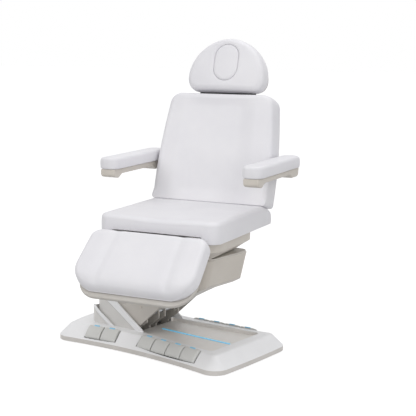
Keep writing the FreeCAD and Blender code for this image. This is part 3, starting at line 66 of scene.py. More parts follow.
SWIVEL = (SWIVEL_REACH * math.cos(TURN), -SWIVEL_REACH * math.sin(TURN), 0)
BASE = Matrix.Rotation(-TURN, 4, "Z")
CHAIR = Matrix.Translation(SWIVEL)
BACK = CHAIR @ Matrix.Translation((0, BACK_FOOT, SEAT_TOP)) @ Matrix.Rotation(-LEAN, 4, "X")
LEG = CHAIR @ Matrix.Translation((0, -LEG_HEAD_Y, LEG_HEAD_Z)) @ Matrix.Rotation(DROP, 4, "X")


def place(points_mm, local):
    """Points in a part's own frame, in mm, as row-frame metres."""
    flat = np.asarray(points_mm, float).reshape(-1, 3)
    matrix = np.array(local)
    return (flat @ matrix[:3, :3].T + matrix[:3, 3]) / 1000


def step(low, high, value):
    """0 below low, 1 above high, and a smooth rise between."""
    t = np.clip((np.asarray(value, float) - low) / (high - low), 0, 1)
    return t * t * (3 - 2 * t)


# ---- Materials ----

def linear(code):
    """An sRGB hex colour as linear values with alpha 1."""
    parts = [int(code[i:i + 2], 16) / 255 for i in (1, 3, 5)]
    return tuple(c / 12.92 if c <= 0.04045 else ((c + 0.055) / 1.055) ** 2.4
                 for c in parts) + (1.0,)


class Nodes:
    """A new material with its own small tree, ending in one Principled shader."""

    def __init__(self, name):
        self.material = bpy.data.materials.new(name)
        self.material.use_nodes = True
        self.tree = self.material.node_tree
        self.tree.nodes.clear()
        self.out = self.tree.nodes.new("ShaderNodeOutputMaterial")
        self.surface = self.add("ShaderNodeBsdfPrincipled")
        self.tree.links.new(self.surface.outputs[0], self.out.inputs[0])
        self.place = self.add("ShaderNodeTexCoord").outputs["Object"]

    def add(self, kind, settings=None, **inputs):
        """Adds a node: settings are its properties; inputs are values or other outputs."""
        node = self.tree.nodes.new(kind)
        for key, value in (settings or {}).items():
            setattr(node, key, value)
        for key, value in inputs.items():
            self.set(node, key.replace("_", " "), value)
        return node

    def set(self, node, name, value):
        """Gives an input a value, or links another node's output to it."""
        socket = node.inputs[int(name)] if name.isdigit() else node.inputs[name]
        if isinstance(value, bpy.types.NodeSocket):
            self.tree.links.new(value, socket)
        else:
            socket.default_value = value

    def scaled(self, scale):
        """Object coordinates times a scale for each axis."""
        return self.add("ShaderNodeMapping", Vector=self.place, Scale=scale).outputs[0]

    def noise(self, scale, detail=3.0, roughness=0.5, vector=None):
        """A noise value from 0 to 1 at a scale in cycles a metre."""
        return self.add("ShaderNodeTexNoise", Vector=vector or self.place, Scale=scale,
                        Detail=detail, Roughness=roughness).outputs[0]

    def ramp(self, value, low, high, dark, light):
        """A value between two limits, turned into a colour between two others."""
        node = self.add("ShaderNodeValToRGB", Fac=value)
        node.color_ramp.elements[0].position = low
        node.color_ramp.elements[0].color = dark
        node.color_ramp.elements[1].position = high
        node.color_ramp.elements[1].color = light
        return node.outputs[0]

    def mix(self, amount, one, other):
        """One colour over another by an amount."""
        node = self.add("ShaderNodeMix", {"data_type": "RGBA"})
        self.set(node, "0", amount)
        self.set(node, "6", one)
        self.set(node, "7", other)
        return node.outputs[2]

    def spread(self, value, low, high):
        """A 0 to 1 value spread between two others."""
        return self.add("ShaderNodeMapRange", Value=value, To_Min=low, To_Max=high).outputs[0]

    def along_base(self):
        """Object coordinates turned to run along and across the base."""
        return self.add("ShaderNodeVectorRotate", {"rotation_type": "Z_AXIS"},
                        Vector=self.place, Angle=TURN).outputs[0]

    def between(self, value, low, high, falling=False):
        """0 below low and 1 above high, or the other way round when falling."""
        ends = (1.0, 0.0) if falling else (0.0, 1.0)
        return self.add("ShaderNodeMapRange", Value=value, From_Min=low, From_Max=high,
                        To_Min=ends[0], To_Max=ends[1]).outputs[0]

    def math(self, operation, one, other=None):
        """A Math node on one or two values."""
        node = self.add("ShaderNodeMath", {"operation": operation})
        self.set(node, "0", one)
        if other is not None:
            self.set(node, "1", other)
        return node.outputs[0]

    def bump(self, height, strength, distance, normal=None):
        """A bump from a height; distance in metres."""
        node = self.add("ShaderNodeBump", Height=height, Strength=strength, Distance=distance)
        if normal is not None:
            self.set(node, "Normal", normal)
        return node.outputs[0]

    def finish(self, **inputs):
        """Gives the shader its inputs and hands over the material."""
        for key, value in inputs.items():
            self.set(self.surface, key.replace("_", " "), value)
        return self.material


def leathercloth():
    """Near-white upholstery: a fine pebble grain, faint mottling and slightly varied sheen."""
    n = Nodes("leathercloth")
    tone = n.ramp(n.noise(5, 3), 0.3, 0.7, linear("#DFDEE2"), linear("#E5E4E7"))
    pebbles = n.add("ShaderNodeTexVoronoi", {"feature": "SMOOTH_F1"}, Vector=n.place,
                    Scale=850.0, Smoothness=0.6).outputs[0]
    pores = n.noise(2600, 2)
    cloudy = n.noise(34, 3)
    shade = n.mix(n.spread(pebbles, 0, 0.10), tone, linear("#C4C2C6"))
    lumps = n.bump(cloudy, 0.05, 0.0008)
    grain = n.bump(pebbles, 0.30, 0.00025, lumps)
    fine = n.bump(pores, 0.12, 0.0001, grain)
    return n.finish(Base_Color=shade, Roughness=n.spread(cloudy, 0.40, 0.56), Normal=fine,
                    Coat_Weight=0.06, Coat_Roughness=0.45, Sheen_Weight=0.05)


def moulded(name, light, dark, rough=(0.38, 0.52), grain=1500.0, strength=0.12):
    """Satin moulded plastic: a fine spark-eroded texture and a faint unevenness in tone."""
    n = Nodes(name)
    tone = n.ramp(n.noise(5, 3), 0.3, 0.7, linear(dark), linear(light))
    speck = n.noise(grain, 3, 0.6)
    slow = n.noise(22, 2)
    colour = n.mix(n.spread(speck, 0.0, 0.07), tone, linear(dark))
    wavy = n.bump(slow, 0.10, 0.0008)
    return n.finish(Base_Color=colour, Roughness=n.spread(n.noise(60, 3), *rough),
                    Normal=n.bump(speck, strength, 0.00012, wavy), Coat_Weight=0.04,
                    Coat_Roughness=0.3)


def base_moulding():
    """The base: near-white slopes, a warm grey foot rim, and a warm grey tray floor and ledges."""
    n = Nodes("base_moulding")
    parts = n.add("ShaderNodeSeparateXYZ", Vector=n.place)
    height = parts.outputs[2]
    white = n.ramp(n.noise(5, 3), 0.3, 0.7, linear("#E9E9EA"), linear("#F0F0F1"))
    warm = n.ramp(n.noise(7, 3), 0.3, 0.7, linear("#E6E2DD"), linear("#EDEAE6"))
    foot = n.ramp(n.noise(7, 3), 0.3, 0.7, linear("#D2CEC9"), linear("#DAD6D2"))
    rim = n.between(height, 0.0235, 0.0245)
    # The tray's colour is 380 mm wide, from 110 mm left to 414 mm right of the base's middle.
    turned = n.add("ShaderNodeSeparateXYZ", Vector=n.along_base())
    along = turned.outputs[0]
    across = n.math("ABSOLUTE", turned.outputs[1])
    tray = n.between(across, 0.188, 0.192, falling=True)
    for limit in (n.between(along, 0.412, 0.416, falling=True), n.between(along, -0.112, -0.108),
                  n.between(height, 0.0765, 0.0775, falling=True)):
        tray = n.math("MULTIPLY", tray, limit)
    colour = n.mix(rim, foot, n.mix(tray, white, warm))
    speck = n.noise(1500, 3, 0.6)
    return n.finish(Base_Color=colour, Roughness=n.spread(n.noise(60, 3), 0.36, 0.5),
                    Normal=n.bump(speck, 0.12, 0.00012), Coat_Weight=0.04, Coat_Roughness=0.3)


def hood_moulding(name, start, finish, width):
    """A rear cover with painted light: a light grey panel below its sloping lip as painted shade on
    a recessed side, and a near-white lip and top as the lit bevel above it.

    The lip is a band of a width along the line from start to finish, both (u, z) in the base.
    """
    n = Nodes(name)
    du, dz = finish[0] - start[0], finish[1] - start[1]
    length = math.hypot(du, dz)
    off = n.add("ShaderNodeVectorMath", {"operation": "SUBTRACT"})
    n.set(off, "0", n.along_base())
    n.set(off, "1", (start[0], 0, start[1]))
    below = n.add("ShaderNodeVectorMath", {"operation": "DOT_PRODUCT"})
    n.set(below, "0", off.outputs[0])
    n.set(below, "1", (dz / length, 0, -du / length))
    # The mask is 1 on the panel below the lip, where the grey is painted shade; the near-white lip
    # above it stands for a lit bevel.
    painted_shade_mask = n.add("ShaderNodeMapRange", {"interpolation_type": "SMOOTHSTEP"},
                 Value=below.outputs[1], From_Min=width, From_Max=width + 0.0025).outputs[0]
    white = n.ramp(n.noise(5, 3), 0.3, 0.7, linear("#EAEAEB"), linear("#F1F1F2"))
    painted_shade_panel = n.ramp(n.noise(6, 3), 0.3, 0.7, linear("#D0CECB"), linear("#D8D6D3"))
    speck = n.noise(1500, 3, 0.6)
    step_down = n.bump(painted_shade_mask, 0.8, -0.003)
    return n.finish(Base_Color=n.mix(painted_shade_mask, white, painted_shade_panel),
                    Roughness=n.spread(n.noise(60, 3), 0.36, 0.5),
                    Normal=n.bump(speck, 0.12, 0.00012, step_down), Coat_Weight=0.04,
                    Coat_Roughness=0.3)


def coated_steel(name, light, dark):
    """Powder-coated steel: orange-peel bumps with small dull patches."""
    n = Nodes(name)
    peel = n.noise(420, 2)
    tone = n.ramp(n.noise(14, 4), 0.3, 0.7, linear(dark), linear(light))
    return n.finish(Base_Color=tone, Metallic=0.15, Roughness=n.spread(n.noise(40, 3), 0.42, 0.62),
                    Normal=n.bump(peel, 0.22, 0.0003))


def ground_steel(name, light, dark, stretch=(40, 900, 900)):
    """Ground and plated steel: short fine scratches along the part, and cloudy roughness."""
    n = Nodes(name)
    lines = n.noise(1.0, 5, 0.7, n.scaled(stretch))
    tone = n.ramp(lines, 0.3, 0.75, linear(dark), linear(light))
    return n.finish(Base_Color=tone, Metallic=0.95, Roughness=n.spread(n.noise(30, 3), 0.20, 0.36),
                    Normal=n.bump(lines, 0.10, 0.00008))


def light_diffuser():
    """A pale blue light strip: a soft glow that dims slightly between its lamps."""
    n = Nodes("light_diffuser")
    lamps = n.add("ShaderNodeTexWave", {"wave_profile": "SIN"}, Vector=n.place, Scale=14.0,
                  Distortion=0.0).outputs[1]
    colour = n.mix(n.spread(lamps, 0.0, 0.35), linear("#66BCE2"), linear("#8FD2EE"))
    return n.finish(Base_Color=colour, Roughness=n.spread(n.noise(200, 2), 0.25, 0.35),
                    Emission_Color=colour, Emission_Strength=0.35)


def laminate():
    """Smooth light grey board under the cushions, with a faint directional grain."""
    n = Nodes("laminate")
    fibre = n.noise(1.0, 4, 0.6, n.scaled((30, 400, 400)))
    tone = n.ramp(fibre, 0.3, 0.7, linear("#B9B5AF"), linear("#C6C2BC"))
    return n.finish(Base_Color=tone, Roughness=n.spread(n.noise(80, 2), 0.4, 0.55),
                    Normal=n.bump(fibre, 0.08, 0.0001))


def rubber():
    """Moulded black rubber with a chalky bloom."""
    n = Nodes("rubber")
    bloom = n.noise(70, 4)
    tone = n.ramp(bloom, 0.4, 0.8, linear("#1F1F20"), linear("#343436"))
    return n.finish(Base_Color=tone, Roughness=n.spread(bloom, 0.6, 0.85),
                    Normal=n.bump(n.noise(900, 2), 0.2, 0.0002))


LEATHER = leathercloth()
SHELL = moulded("warm_grey_moulding", "#D0CAC1", "#C7C0B7")
COVER = moulded("pale_grey_moulding", "#EDEDEE", "#E6E5E6")
BASE_TOP = base_moulding()
# Both rear covers carry painted light: a shaded grey panel below a lit near-white lip.
HOOD = hood_moulding("rear_hood_moulding", (-0.245, 0.221), (-0.045, 0.092), 0.030)
SHROUD = hood_moulding("rear_shroud_moulding", (-0.352, 0.170), (-0.212, 0.078), 0.016)
# The arm housing's warm grey is partly its own grey-beige and partly painted shade for its place
# under the seat, darker than the base cover.
HOUSING_WITH_PAINTED_SHADE = moulded("arm_housing_painted_shade", "#C8C3BD", "#BFBAB3")
PEDAL = moulded("pedal_grey_moulding", "#D6D6D3", "#CBCBC8", (0.45, 0.6), 1100.0, 0.2)
# Dark plastic of the drive casings; it also colours the headrest's foot strip, where it is painted
# shade.
DARK_CASING_AND_SHADE = moulded("dark_casing_and_painted_shade", "#3E3F41", "#2E2F31", (0.45, 0.62), 1300.0, 0.2)
STEEL = coated_steel("coated_steel", "#CDC8C1", "#BDB8B1")
BRIGHT = ground_steel("ground_steel", "#D2D4D6", "#AEB1B5")
BRONZE = ground_steel("sintered_bronze", "#C09A62", "#9A7743", (300, 300, 300))
GLOW = light_diffuser()
BOARD = laminate()
RUBBER = rubber()
MARK = moulded("light_blue_inlay", "#93D0EC", "#86C6E6", (0.3, 0.4))

by_slot = {
    "leather_cushion": LEATHER, "shell_plastic": SHELL, "base_plastic": COVER,
    "pedal_plastic": PEDAL, "light_strip": GLOW, "painted_steel": STEEL,
    "bright_steel": BRIGHT, "drive_casing": DARK_CASING_AND_SHADE, "bronze_bush": BRONZE,
    "cushion_board": BOARD, "foot_rubber": RUBBER,
}
by_name = {"base_cover": BASE_TOP, "rear_hood": HOOD, "rear_shroud": SHROUD,
           "arm_housing": HOUSING_WITH_PAINTED_SHADE}
slot_of = {row["node"]: row["material_slot"] for row in frame["record"]["subparts"]}
for name, node in nodes.items():
    node.data.materials.clear()
    node.data.materials.append(by_name.get(name) or by_slot[slot_of[name]])

# ---- Mesh building ----

def make_mesh(name, points, faces, material, smooth=True):
    """A mesh object from row-frame points, with its faces turned to point outwards."""
    mesh = bpy.data.meshes.new(name)
    mesh.from_pydata(np.asarray(points, float).tolist(), [], faces)
    mesh.materials.append(material)
    mesh.validate()
    obj = bpy.data.objects.new(name, mesh)
    scene.collection.objects.link(obj)
    corners = np.empty(3 * len(mesh.vertices), np.float32)
    mesh.vertices.foreach_get("co", corners)
    corners = corners.reshape(-1, 3).astype(float)
    mesh.calc_loop_triangles()
    tris = np.empty(3 * len(mesh.loop_triangles), np.int32)
    mesh.loop_triangles.foreach_get("vertices", tris)
    a, b, c = (corners[tris.reshape(-1, 3)[:, i]] for i in range(3))
    # Six times the signed volume: below nothing, the faces point inwards.
    if np.einsum("ij,ij->i", a, np.cross(b, c)).sum() < 0:
        mesh.flip_normals()
    mesh.polygons.foreach_set("use_smooth", [smooth] * len(mesh.polygons))
    return obj


def ring_faces(rings, count, closed_ends):
    """Quads between successive rings of points; a closed end is one middle point."""
    i = np.arange(count)
    j = (i + 1) % count
    start = 1 if closed_ends[0] else 0
    low = start + np.arange(rings - 1)[:, None] * count
    quads = np.stack([low + i, low + j, low + count + j, low + count + i], axis=-1)
    faces = np.stack([0 * i, 1 + j, 1 + i], axis=-1).tolist() if closed_ends[0] else []
    faces += quads.reshape(-1, 4).tolist()
    if closed_ends[1]:
        last = start + (rings - 1) * count
        faces += np.stack([last + i, last + j, 0 * i + last + count], axis=-1).tolist()
    return faces


def evenly(points, count):
    """The closed line through the points, as count points at equal steps along it."""
    closed = np.vstack([points, points[:1]])
    along = np.concatenate([[0], np.cumsum(np.linalg.norm(np.diff(closed, axis=0), axis=1))])
    at = np.linspace(0, along[-1], count, endpoint=False)
    return np.stack([np.interp(at, along, closed[:, k]) for k in (0, 1)], axis=1)


def resampled(corners, count):
    """A closed outline through corners (x, y, radius), rounded, as evenly spaced points.

    Each corner is an arc that touches both of its sides, at radius / tan(half the angle) from it.
    """
    arcs = []
    for i, corner in enumerate(corners):
        p = np.array(corner[:2], float)
        a = np.array(corners[i - 1][:2], float) - p
        b = np.array(corners[(i + 1) % len(corners)][:2], float) - p
        a /= np.linalg.norm(a)
        b /= np.linalg.norm(b)
        half = math.acos(float(np.clip(a @ b, -1, 1))) / 2
        radius = corner[2]
        middle = p + (a + b) / np.linalg.norm(a + b) * (radius / math.sin(half))
        start = p + a * (radius / math.tan(half)) - middle
        sign = np.sign(a[0] * b[1] - a[1] * b[0])
        turn = -sign * np.linspace(0, math.pi - 2 * half, 24)
        arcs.append(middle + np.stack([start[0] * np.cos(turn) - start[1] * np.sin(turn),
                                       start[0] * np.sin(turn) + start[1] * np.cos(turn)], axis=1))
    return evenly(np.vstack(arcs), count)


def outward(outline):
    """Unit normals of a closed outline, pointing away from its middle, softly averaged."""
    tangent = np.roll(outline, -2, axis=0) - np.roll(outline, 2, axis=0)
    normal = np.stack([tangent[:, 1], -tangent[:, 0]], axis=1)
    normal /= np.linalg.norm(normal, axis=1)[:, None]
    middle = outline.mean(axis=0)
    if ((outline - middle) * normal).sum() < 0:
        normal = -normal
    return normal


def cushion(name, corners, top, bottom, local, to_axes, edge=22, low_edge=10, bulge=3.0,
            hole=None, hole_edge=10, count=260, middle=None):
    """A closed stuffed form over an outline.

    From the middle (or a hole's rim) it runs out over the top, turns down by a quarter round of
    radius edge, swells out by bulge half way down the side, turns under by low_edge and closes
    along the bottom. top and bottom give the height over any point of the plan.
    """
    outline = resampled(corners, count) if isinstance(corners, list) else corners
    count = len(outline)
    normal = outward(outline)
    edge = edge(outline) if callable(edge) else np.full(count, float(edge))
    turn = edge[:, None]
    centre = np.array(middle if middle is not None else outline.mean(axis=0), float)
    rings = []

    def add(plan, height):
        rings.append(np.column_stack([plan, height]))

    inner = None
    if hole is not None:
        inner = hole
        inner_normal = outward(inner)
        for t in np.linspace(0, 1, 8):
            h_top = top(inner[:, 0], inner[:, 1]) - hole_edge
            h_low = bottom(inner[:, 0], inner[:, 1])
            add(inner, h_low + (h_top - h_low) * t)
        for angle in np.linspace(10, 90, 9):
            a = math.radians(angle)
            plan = inner + inner_normal * hole_edge * (1 - math.cos(a))
            add(plan, top(plan[:, 0], plan[:, 1]) - hole_edge * (1 - math.sin(a)))
        begin = inner + inner_normal * hole_edge
    else:
        begin = np.repeat(centre[None], count, axis=0)
    rim = outline - normal * turn
    for t in np.linspace(0, 1, 56)[1:]:
        t = t ** 0.85
        plan = begin + (rim - begin) * t
        add(plan, top(plan[:, 0], plan[:, 1]))
    for angle in np.linspace(0, 90, 13)[1:]:
        a = math.radians(angle)
        plan = rim + normal * turn * math.sin(a)
        add(plan, top(plan[:, 0], plan[:, 1]) - edge * (1 - math.cos(a)))
    high = top(outline[:, 0], outline[:, 1]) - edge
    low = bottom(outline[:, 0], outline[:, 1]) + low_edge
    for t in np.linspace(0, 1, 14)[1:]:
        plan = outline + normal * bulge * math.sin(math.pi * t)
        add(plan, high + (low - high) * t)
    for angle in np.linspace(0, 90, 7)[1:]:
        a = math.radians(angle)
        plan = outline - normal * low_edge * (1 - math.cos(a))
        add(plan, low - low_edge * math.sin(a))
    under = outline - normal * low_edge
    stop = inner if inner is not None else begin
    for t in np.linspace(0, 1, 22)[1:(None if inner is not None else -1)]:
        plan = under + (stop - under) * t
        add(plan, bottom(plan[:, 0], plan[:, 1]))
    points = np.vstack(rings)
    if inner is None:
        high_pole = np.array([[centre[0], centre[1], float(top(centre[:1], centre[1:2])[0])]])
        low_pole = np.array([[centre[0], centre[1], float(bottom(centre[:1], centre[1:2])[0])]])
        points = np.vstack([high_pole, points, low_pole])
        faces = ring_faces(len(rings), count, (True, True))
    else:
        faces = ring_faces(len(rings), count, (False, False))
    obj = make_mesh(name, place(to_axes(points), local), faces, LEATHER)
    if inner is not None:
        weld = obj.modifiers.new("weld", "WELD")
        weld.merge_threshold = 0.00005
    return obj


def as_plan(points):
    """Plan and height as they are: x, y and z."""
    return points


def facing(points):
    """Plan drawn facing the piece: x, height up the piece, and depth behind its face."""
    return np.column_stack([points[:, 0], -points[:, 2], points[:, 1]])


def lying(points):
    """Plan drawn facing the piece, with its third number the depth: x, depth, height."""
    return np.column_stack([points[:, 0], points[:, 2], points[:, 1]])


def level(height):
    """A flat underside: the same height over every point of the plan."""
    return lambda x, y: np.full_like(np.asarray(x, float), height)


def puckers(x, y, amount, seed):
    """A slow unevenness of stretched upholstery: the mean of seven sine waves 70 to 240 mm long."""
    r = np.random.default_rng(seed)
    total = np.zeros_like(np.asarray(x, float))
    for k in range(7):
        angle, length, phase = r.uniform(0, math.pi), r.uniform(70, 240), r.uniform(0, 6.28)
        total += np.sin((x * math.cos(angle) + y * math.sin(angle)) * 2 * math.pi / length + phase)
    return total * amount / 7


# ---- Cushions ----

def seat_top(x, y):
    """Flat to the foot of the back, then down at the back's lean and round its hinge.

    The sitter's dish is 6 mm of a squared cosine across, the last 2 mm before the back's foot is
    already sloped, and behind the hinge the height is a circle of 50 mm about it.
    """
    slope = SEAT_TOP - np.maximum(y - (BACK_FOOT - 2), 0) * math.tan(LEAN)
    off = np.clip(y, BACK_HINGE_Y - 50, BACK_HINGE_Y + 49) - BACK_HINGE_Y
    fall = np.sqrt(np.maximum(50 ** 2 - off ** 2, 0)) + BACK_HINGE_Z
    height = np.where(y > 234, np.minimum(fall, slope), slope)
    dish = 6 * np.cos(np.clip(x / 215, -1, 1) * math.pi / 2) ** 2
    free = 1 - step(20, 150, y)
    return height - 0.6 - dish * free + puckers(x, y, 0.4, 3) * free


def seat_bottom(x, y):
    """The board's level of 583 mm, raised 30 mm over the leg hinge and 48 mm over the back's."""
    front = (1 - step(-286, -276, y)) * (1 - step(222, 234, abs(x)))
    rear = step(186, 193, y) * (1 - step(242, 254, abs(x)))
    return 583 + 30 * front + 48 * rear


seat = cushion("seat_cushion",
               [(-SEAT_HALF, -SEAT_FRONT, 52), (SEAT_HALF, -SEAT_FRONT, 52),
                (SEAT_HALF, SEAT_REAR, 14), (-SEAT_HALF, SEAT_REAR, 14)],
               seat_top, seat_bottom, CHAIR, as_plan, edge=20, low_edge=3, bulge=1.5,
               count=420, middle=(0, -40))


def back_front(x, z):
    """Raised sides and a hollow between them, 13 mm deep and fading to a third at both ends."""
    half = BACK_LOW_HALF - (BACK_LOW_HALF - BACK_HIGH_HALF) * z / BACK_LENGTH
    side = step(0.36, 0.74, abs(x) / half)
    hollow = 13 * (1 - side)
    ends = step(0, 70, z) * (1 - step(470, BACK_LENGTH, z))
    return -(0.5 + hollow * (0.35 + 0.65 * ends)) + puckers(x, z, 0.35, 5) * ends


back_plan = resampled([(-BACK_LOW_HALF, 0.4, 14), (BACK_LOW_HALF, 0.4, 14),
                       (BACK_HIGH_HALF, BACK_LENGTH, 54), (-BACK_HIGH_HALF, BACK_LENGTH, 54)], 360)
# The sides bow out by half a sine wave, 13 mm at the most.
bow = 13 * np.sin(math.pi * np.clip(back_plan[:, 1] / BACK_LENGTH, 0, 1) ** 0.9)
back_plan[:, 0] += bow * np.clip(back_plan[:, 0] / 240, -1, 1)
back = cushion("back_cushion", back_plan,
               back_front, level(-110), BACK, facing,
               edge=lambda p: 4 + 22 * step(6, 60, p[:, 1]), low_edge=10, bulge=2.0,
               middle=(0, 260))


LEG_END = -304


def leg_top(x, y):
    """A flat middle, fuller sides past a soft valley, and a wide roll over the foot end.

    The valley is a bell curve 4 mm deep, the sides rise 5 mm, and the roll is the last 84 mm of
    a quarter ellipse, 43 mm deep at its end.
    """
    half = 285 + 15 * (-y / LEG_LENGTH)
    inner = half - 125
    valley = 4.0 * np.exp(-((abs(x) - inner) / 20) ** 2) * step(LEG_END, -270, y)
    fuller = 5.0 * step(-5, 60, abs(x) - inner)
    ends = step(LEG_END, -250, y) * (1 - step(-50, 0, y))
    into = np.clip(-(y - LEG_END - 84), 0, 83)
    roll = 60 * (1 - np.sqrt(1 - (into / 84) ** 2))
    return -4.0 - valley + fuller * ends - 0.85 * roll + puckers(x, y, 0.3, 7) * ends


leg = cushion("leg_cushion",
              [(-285, -6, 50), (-300, LEG_END, 108), (300, LEG_END, 108), (285, -6, 50)],
              leg_top, level(-70), LEG, as_plan,
              edge=lambda p: 24 - 8 * (1 - step(-290, -230, p[:, 1])), low_edge=9, bulge=2.0,
              count=360)


def board(name, outline, low, high, local, to_axes, material, edge=3.0):
    """A flat board over an outline with a small round along both rims."""
    normal = outward(outline)
    rings = []
    for angle in np.linspace(0, 90, 5):
        a = math.radians(angle)
        rings.append(np.column_stack([outline - normal * edge * (1 - math.sin(a)),
                                      np.full(len(outline), low + edge * (1 - math.cos(a)))]))
    for angle in np.linspace(90, 0, 5):
        a = math.radians(angle)
        rings.append(np.column_stack([outline - normal * edge * (1 - math.sin(a)),
                                      np.full(len(outline), high - edge * (1 - math.cos(a)))]))
    middle = outline.mean(axis=0)
    points = np.vstack([[[*middle, low]]] + rings + [[[*middle, high]]])
    return make_mesh(name, place(to_axes(points), local),
                     ring_faces(len(rings), len(outline), (True, True)), material)


leg_board = board("leg_board_lip",
                  resampled([(-262, -28, 40), (-297, -327, 104), (297, -327, 104), (262, -28, 40)],
                            300), -90, -70.4, LEG, as_plan, BOARD, 7.0)

arm_cushions = []
for side, name in ((1, "left"), (-1, "right")):
    local = CHAIR @ Matrix.Translation((side * ARM_MIDDLE, 0, 0))
    arm = cushion("arm_cushion_" + name,
                  [(-ARM_HALF, -ARM_FRONT, 40), (ARM_HALF, -ARM_FRONT, 40),
                   (ARM_HALF, ARM_REAR, 40), (-ARM_HALF, ARM_REAR, 40)],
                  lambda x, y: 905.5 - 2.5 * (x / ARM_HALF) ** 2 + puckers(x, y, 0.3, 9),
                  level(851.0), local, as_plan,
                  edge=13, low_edge=7, bulge=1.0, count=240, middle=(0, 105))
    arm_cushions.append(arm)

# The face hole: an upright oval, 126 mm wide, from 49 to 227 mm above the headrest's foot.
HOLE = [(-63, HEAD_FOOT + 49, 62), (63, HEAD_FOOT + 49, 62),
        (63, HEAD_FOOT + 227, 62), (-63, HEAD_FOOT + 227, 62)]


def grown(corners, amount):
    """An upright outline grown about its middle, all round."""
    mx = sum(c[0] for c in corners) / len(corners)
    my = sum(c[1] for c in corners) / len(corners)
    return [(x + amount * np.sign(x - mx), y + amount * np.sign(y - my), radius + amount)
            for x, y, radius in corners]


def head_front(x, z):
    """Domed, falling to the rim, and drawn in along the edge of the face hole.

    The dome falls by 7 mm times the cube of the share of the way to the rim, and the seam of the
    hole is a bell curve 2.6 mm deep.
    """
    fall = (x / 205) ** 2 + ((z - HEAD_FOOT - 131) / 131) ** 2
    past = np.hypot(x, np.maximum(abs(z - HEAD_FOOT - 138) - 27, 0)) - 63
    return -8.5 - 7.0 * np.clip(fall, 0, 1.4) ** 1.5 - 2.6 * np.exp(-(past / 8) ** 2)


def aligned(inner, outline):
    """The hole's points, each taken at the same bearing as the outline's."""
    middle = inner.mean(axis=0)
    want = np.arctan2(*(outline - middle).T[::-1])
    have = np.arctan2(*(inner - middle).T[::-1])
    order = np.argsort(have)
    have, pts = have[order], inner[order]
    have = np.concatenate([have - 2 * math.pi, have, have + 2 * math.pi])
    pts = np.vstack([pts, pts, pts])
    return np.stack([np.interp(want, have, pts[:, k]) for k in (0, 1)], axis=1)


def half_disc(inset, count):
    """A flat-bottomed half disc: nearly elliptical over the top, small rounds below."""
    t = np.linspace(0, math.pi, 200)
    top_x = (205 - inset) * np.sign(np.cos(t)) * abs(np.cos(t)) ** 1.05
    widest = HEAD_FOOT + 62
    top_z = widest + (200 - inset) * np.sin(t) ** 1.05
    q = np.linspace(0, math.pi / 2, 40)
    left = np.column_stack([-150 - (55 - inset) * np.cos(q), widest - (62 - inset) * np.sin(q)])
    right = np.column_stack([150 + (55 - inset) * np.sin(q), widest - (62 - inset) * np.cos(q)])
    return evenly(np.vstack([np.column_stack([top_x, top_z]), left[1:], right[:-1]]), count)


HEAD = half_disc(0, 360)
head_hole = aligned(resampled(grown(HOLE, 0.6), 900), HEAD)
headrest = cushion("headrest_cushion", HEAD, head_front,
                   level(-92), BACK, facing, edge=26, low_edge=10,
                   bulge=2.0, hole=head_hole, hole_edge=5)
head_board = board("headrest_board_disc", half_disc(9, 300), 92.6, 109.8, BACK, lying, BOARD)
# A dark strip across the headrest's foot: painted shade for the shadowed gap between the headrest
# and the back, not a real part.
head_shade = board("headrest_painted_shade_strip",
                   resampled([(-148, 538, 5), (148, 538, 5), (148, 562, 5), (-148, 562, 5)], 120),
                   72, 91, BACK, lying, DARK_CASING_AND_SHADE, 1.5)
plug = cushion("face_plug_cushion", HOLE,
               lambda x, z: head_front(x, z) - 0.5 + 2.0 * np.exp(
                   -(x / 50) ** 2 - ((z - HEAD_FOOT - 138) / 70) ** 2),
               level(-91.5), BACK, facing, edge=5, low_edge=4, bulge=0.0, count=220)


# ---- Pedals: a crowned cap on each, with a light-blue dash at its inner end ----

# The pedal's top is an arc through (3, 83.5), (-22, 69) and (-45, 41), as height over reach.
PEDAL_ARC = np.polyfit([3, -22.05, -45], [83.5, 69, 41], 2)
# Each row: its middle along and across the base, its turn in degrees and its number of pedals.
ROWS = [(180.5, -200, -3.2, 4), (-225, -211, 7, 2), (180.5, 200, 183.2, 4), (-225, 211, 173, 2)]


def pedal_cap(name, local):
    """A pillow over a pedal: a grid on its arc, raised by a flat-topped crown to each rim.

    The rise at (a, b), both from -1 to 1 across the pedal, is 4.4 (1 - a^8)^0.5 (1 - b^6)^0.5.
    """
    across = np.sin(np.linspace(-math.pi / 2, math.pi / 2, 33))
    down = np.sin(np.linspace(-math.pi / 2, math.pi / 2, 25))
    a, b = np.meshgrid(across, down, indexing="ij")
    y = -23 - 24.5 * b
    z = np.polyval(PEDAL_ARC, y)
    slope = np.polyval(np.polyder(PEDAL_ARC), y)
    length = np.hypot(1, slope)
    rise = 4.4 * np.sqrt(np.clip(1 - a ** 8, 0, 1)) * np.sqrt(np.clip(1 - b ** 6, 0, 1))
    points = np.vstack([
        np.stack([a * 42.6, y - slope / length * lift, z + lift / length], axis=-1).reshape(-1, 3)
        for lift in (rise, np.full_like(rise, -0.6))])
    count = a.size
    index = np.arange(count).reshape(a.shape)
    faces = []
    corners = (index[:-1, :-1], index[1:, :-1], index[1:, 1:], index[:-1, 1:])
    for low, order in ((0, corners), (count, corners[::-1])):
        faces += (np.stack(order, axis=-1).reshape(-1, 4) + low).tolist()
    border = np.concatenate([index[:-1, 0], index[-1, :-1], index[:0:-1, -1], index[0, :0:-1]])
    after = np.roll(border, -1)
    faces += np.stack([after, border, border + count, after + count], axis=-1).tolist()
    return make_mesh(name, place(points, local), faces, PEDAL)


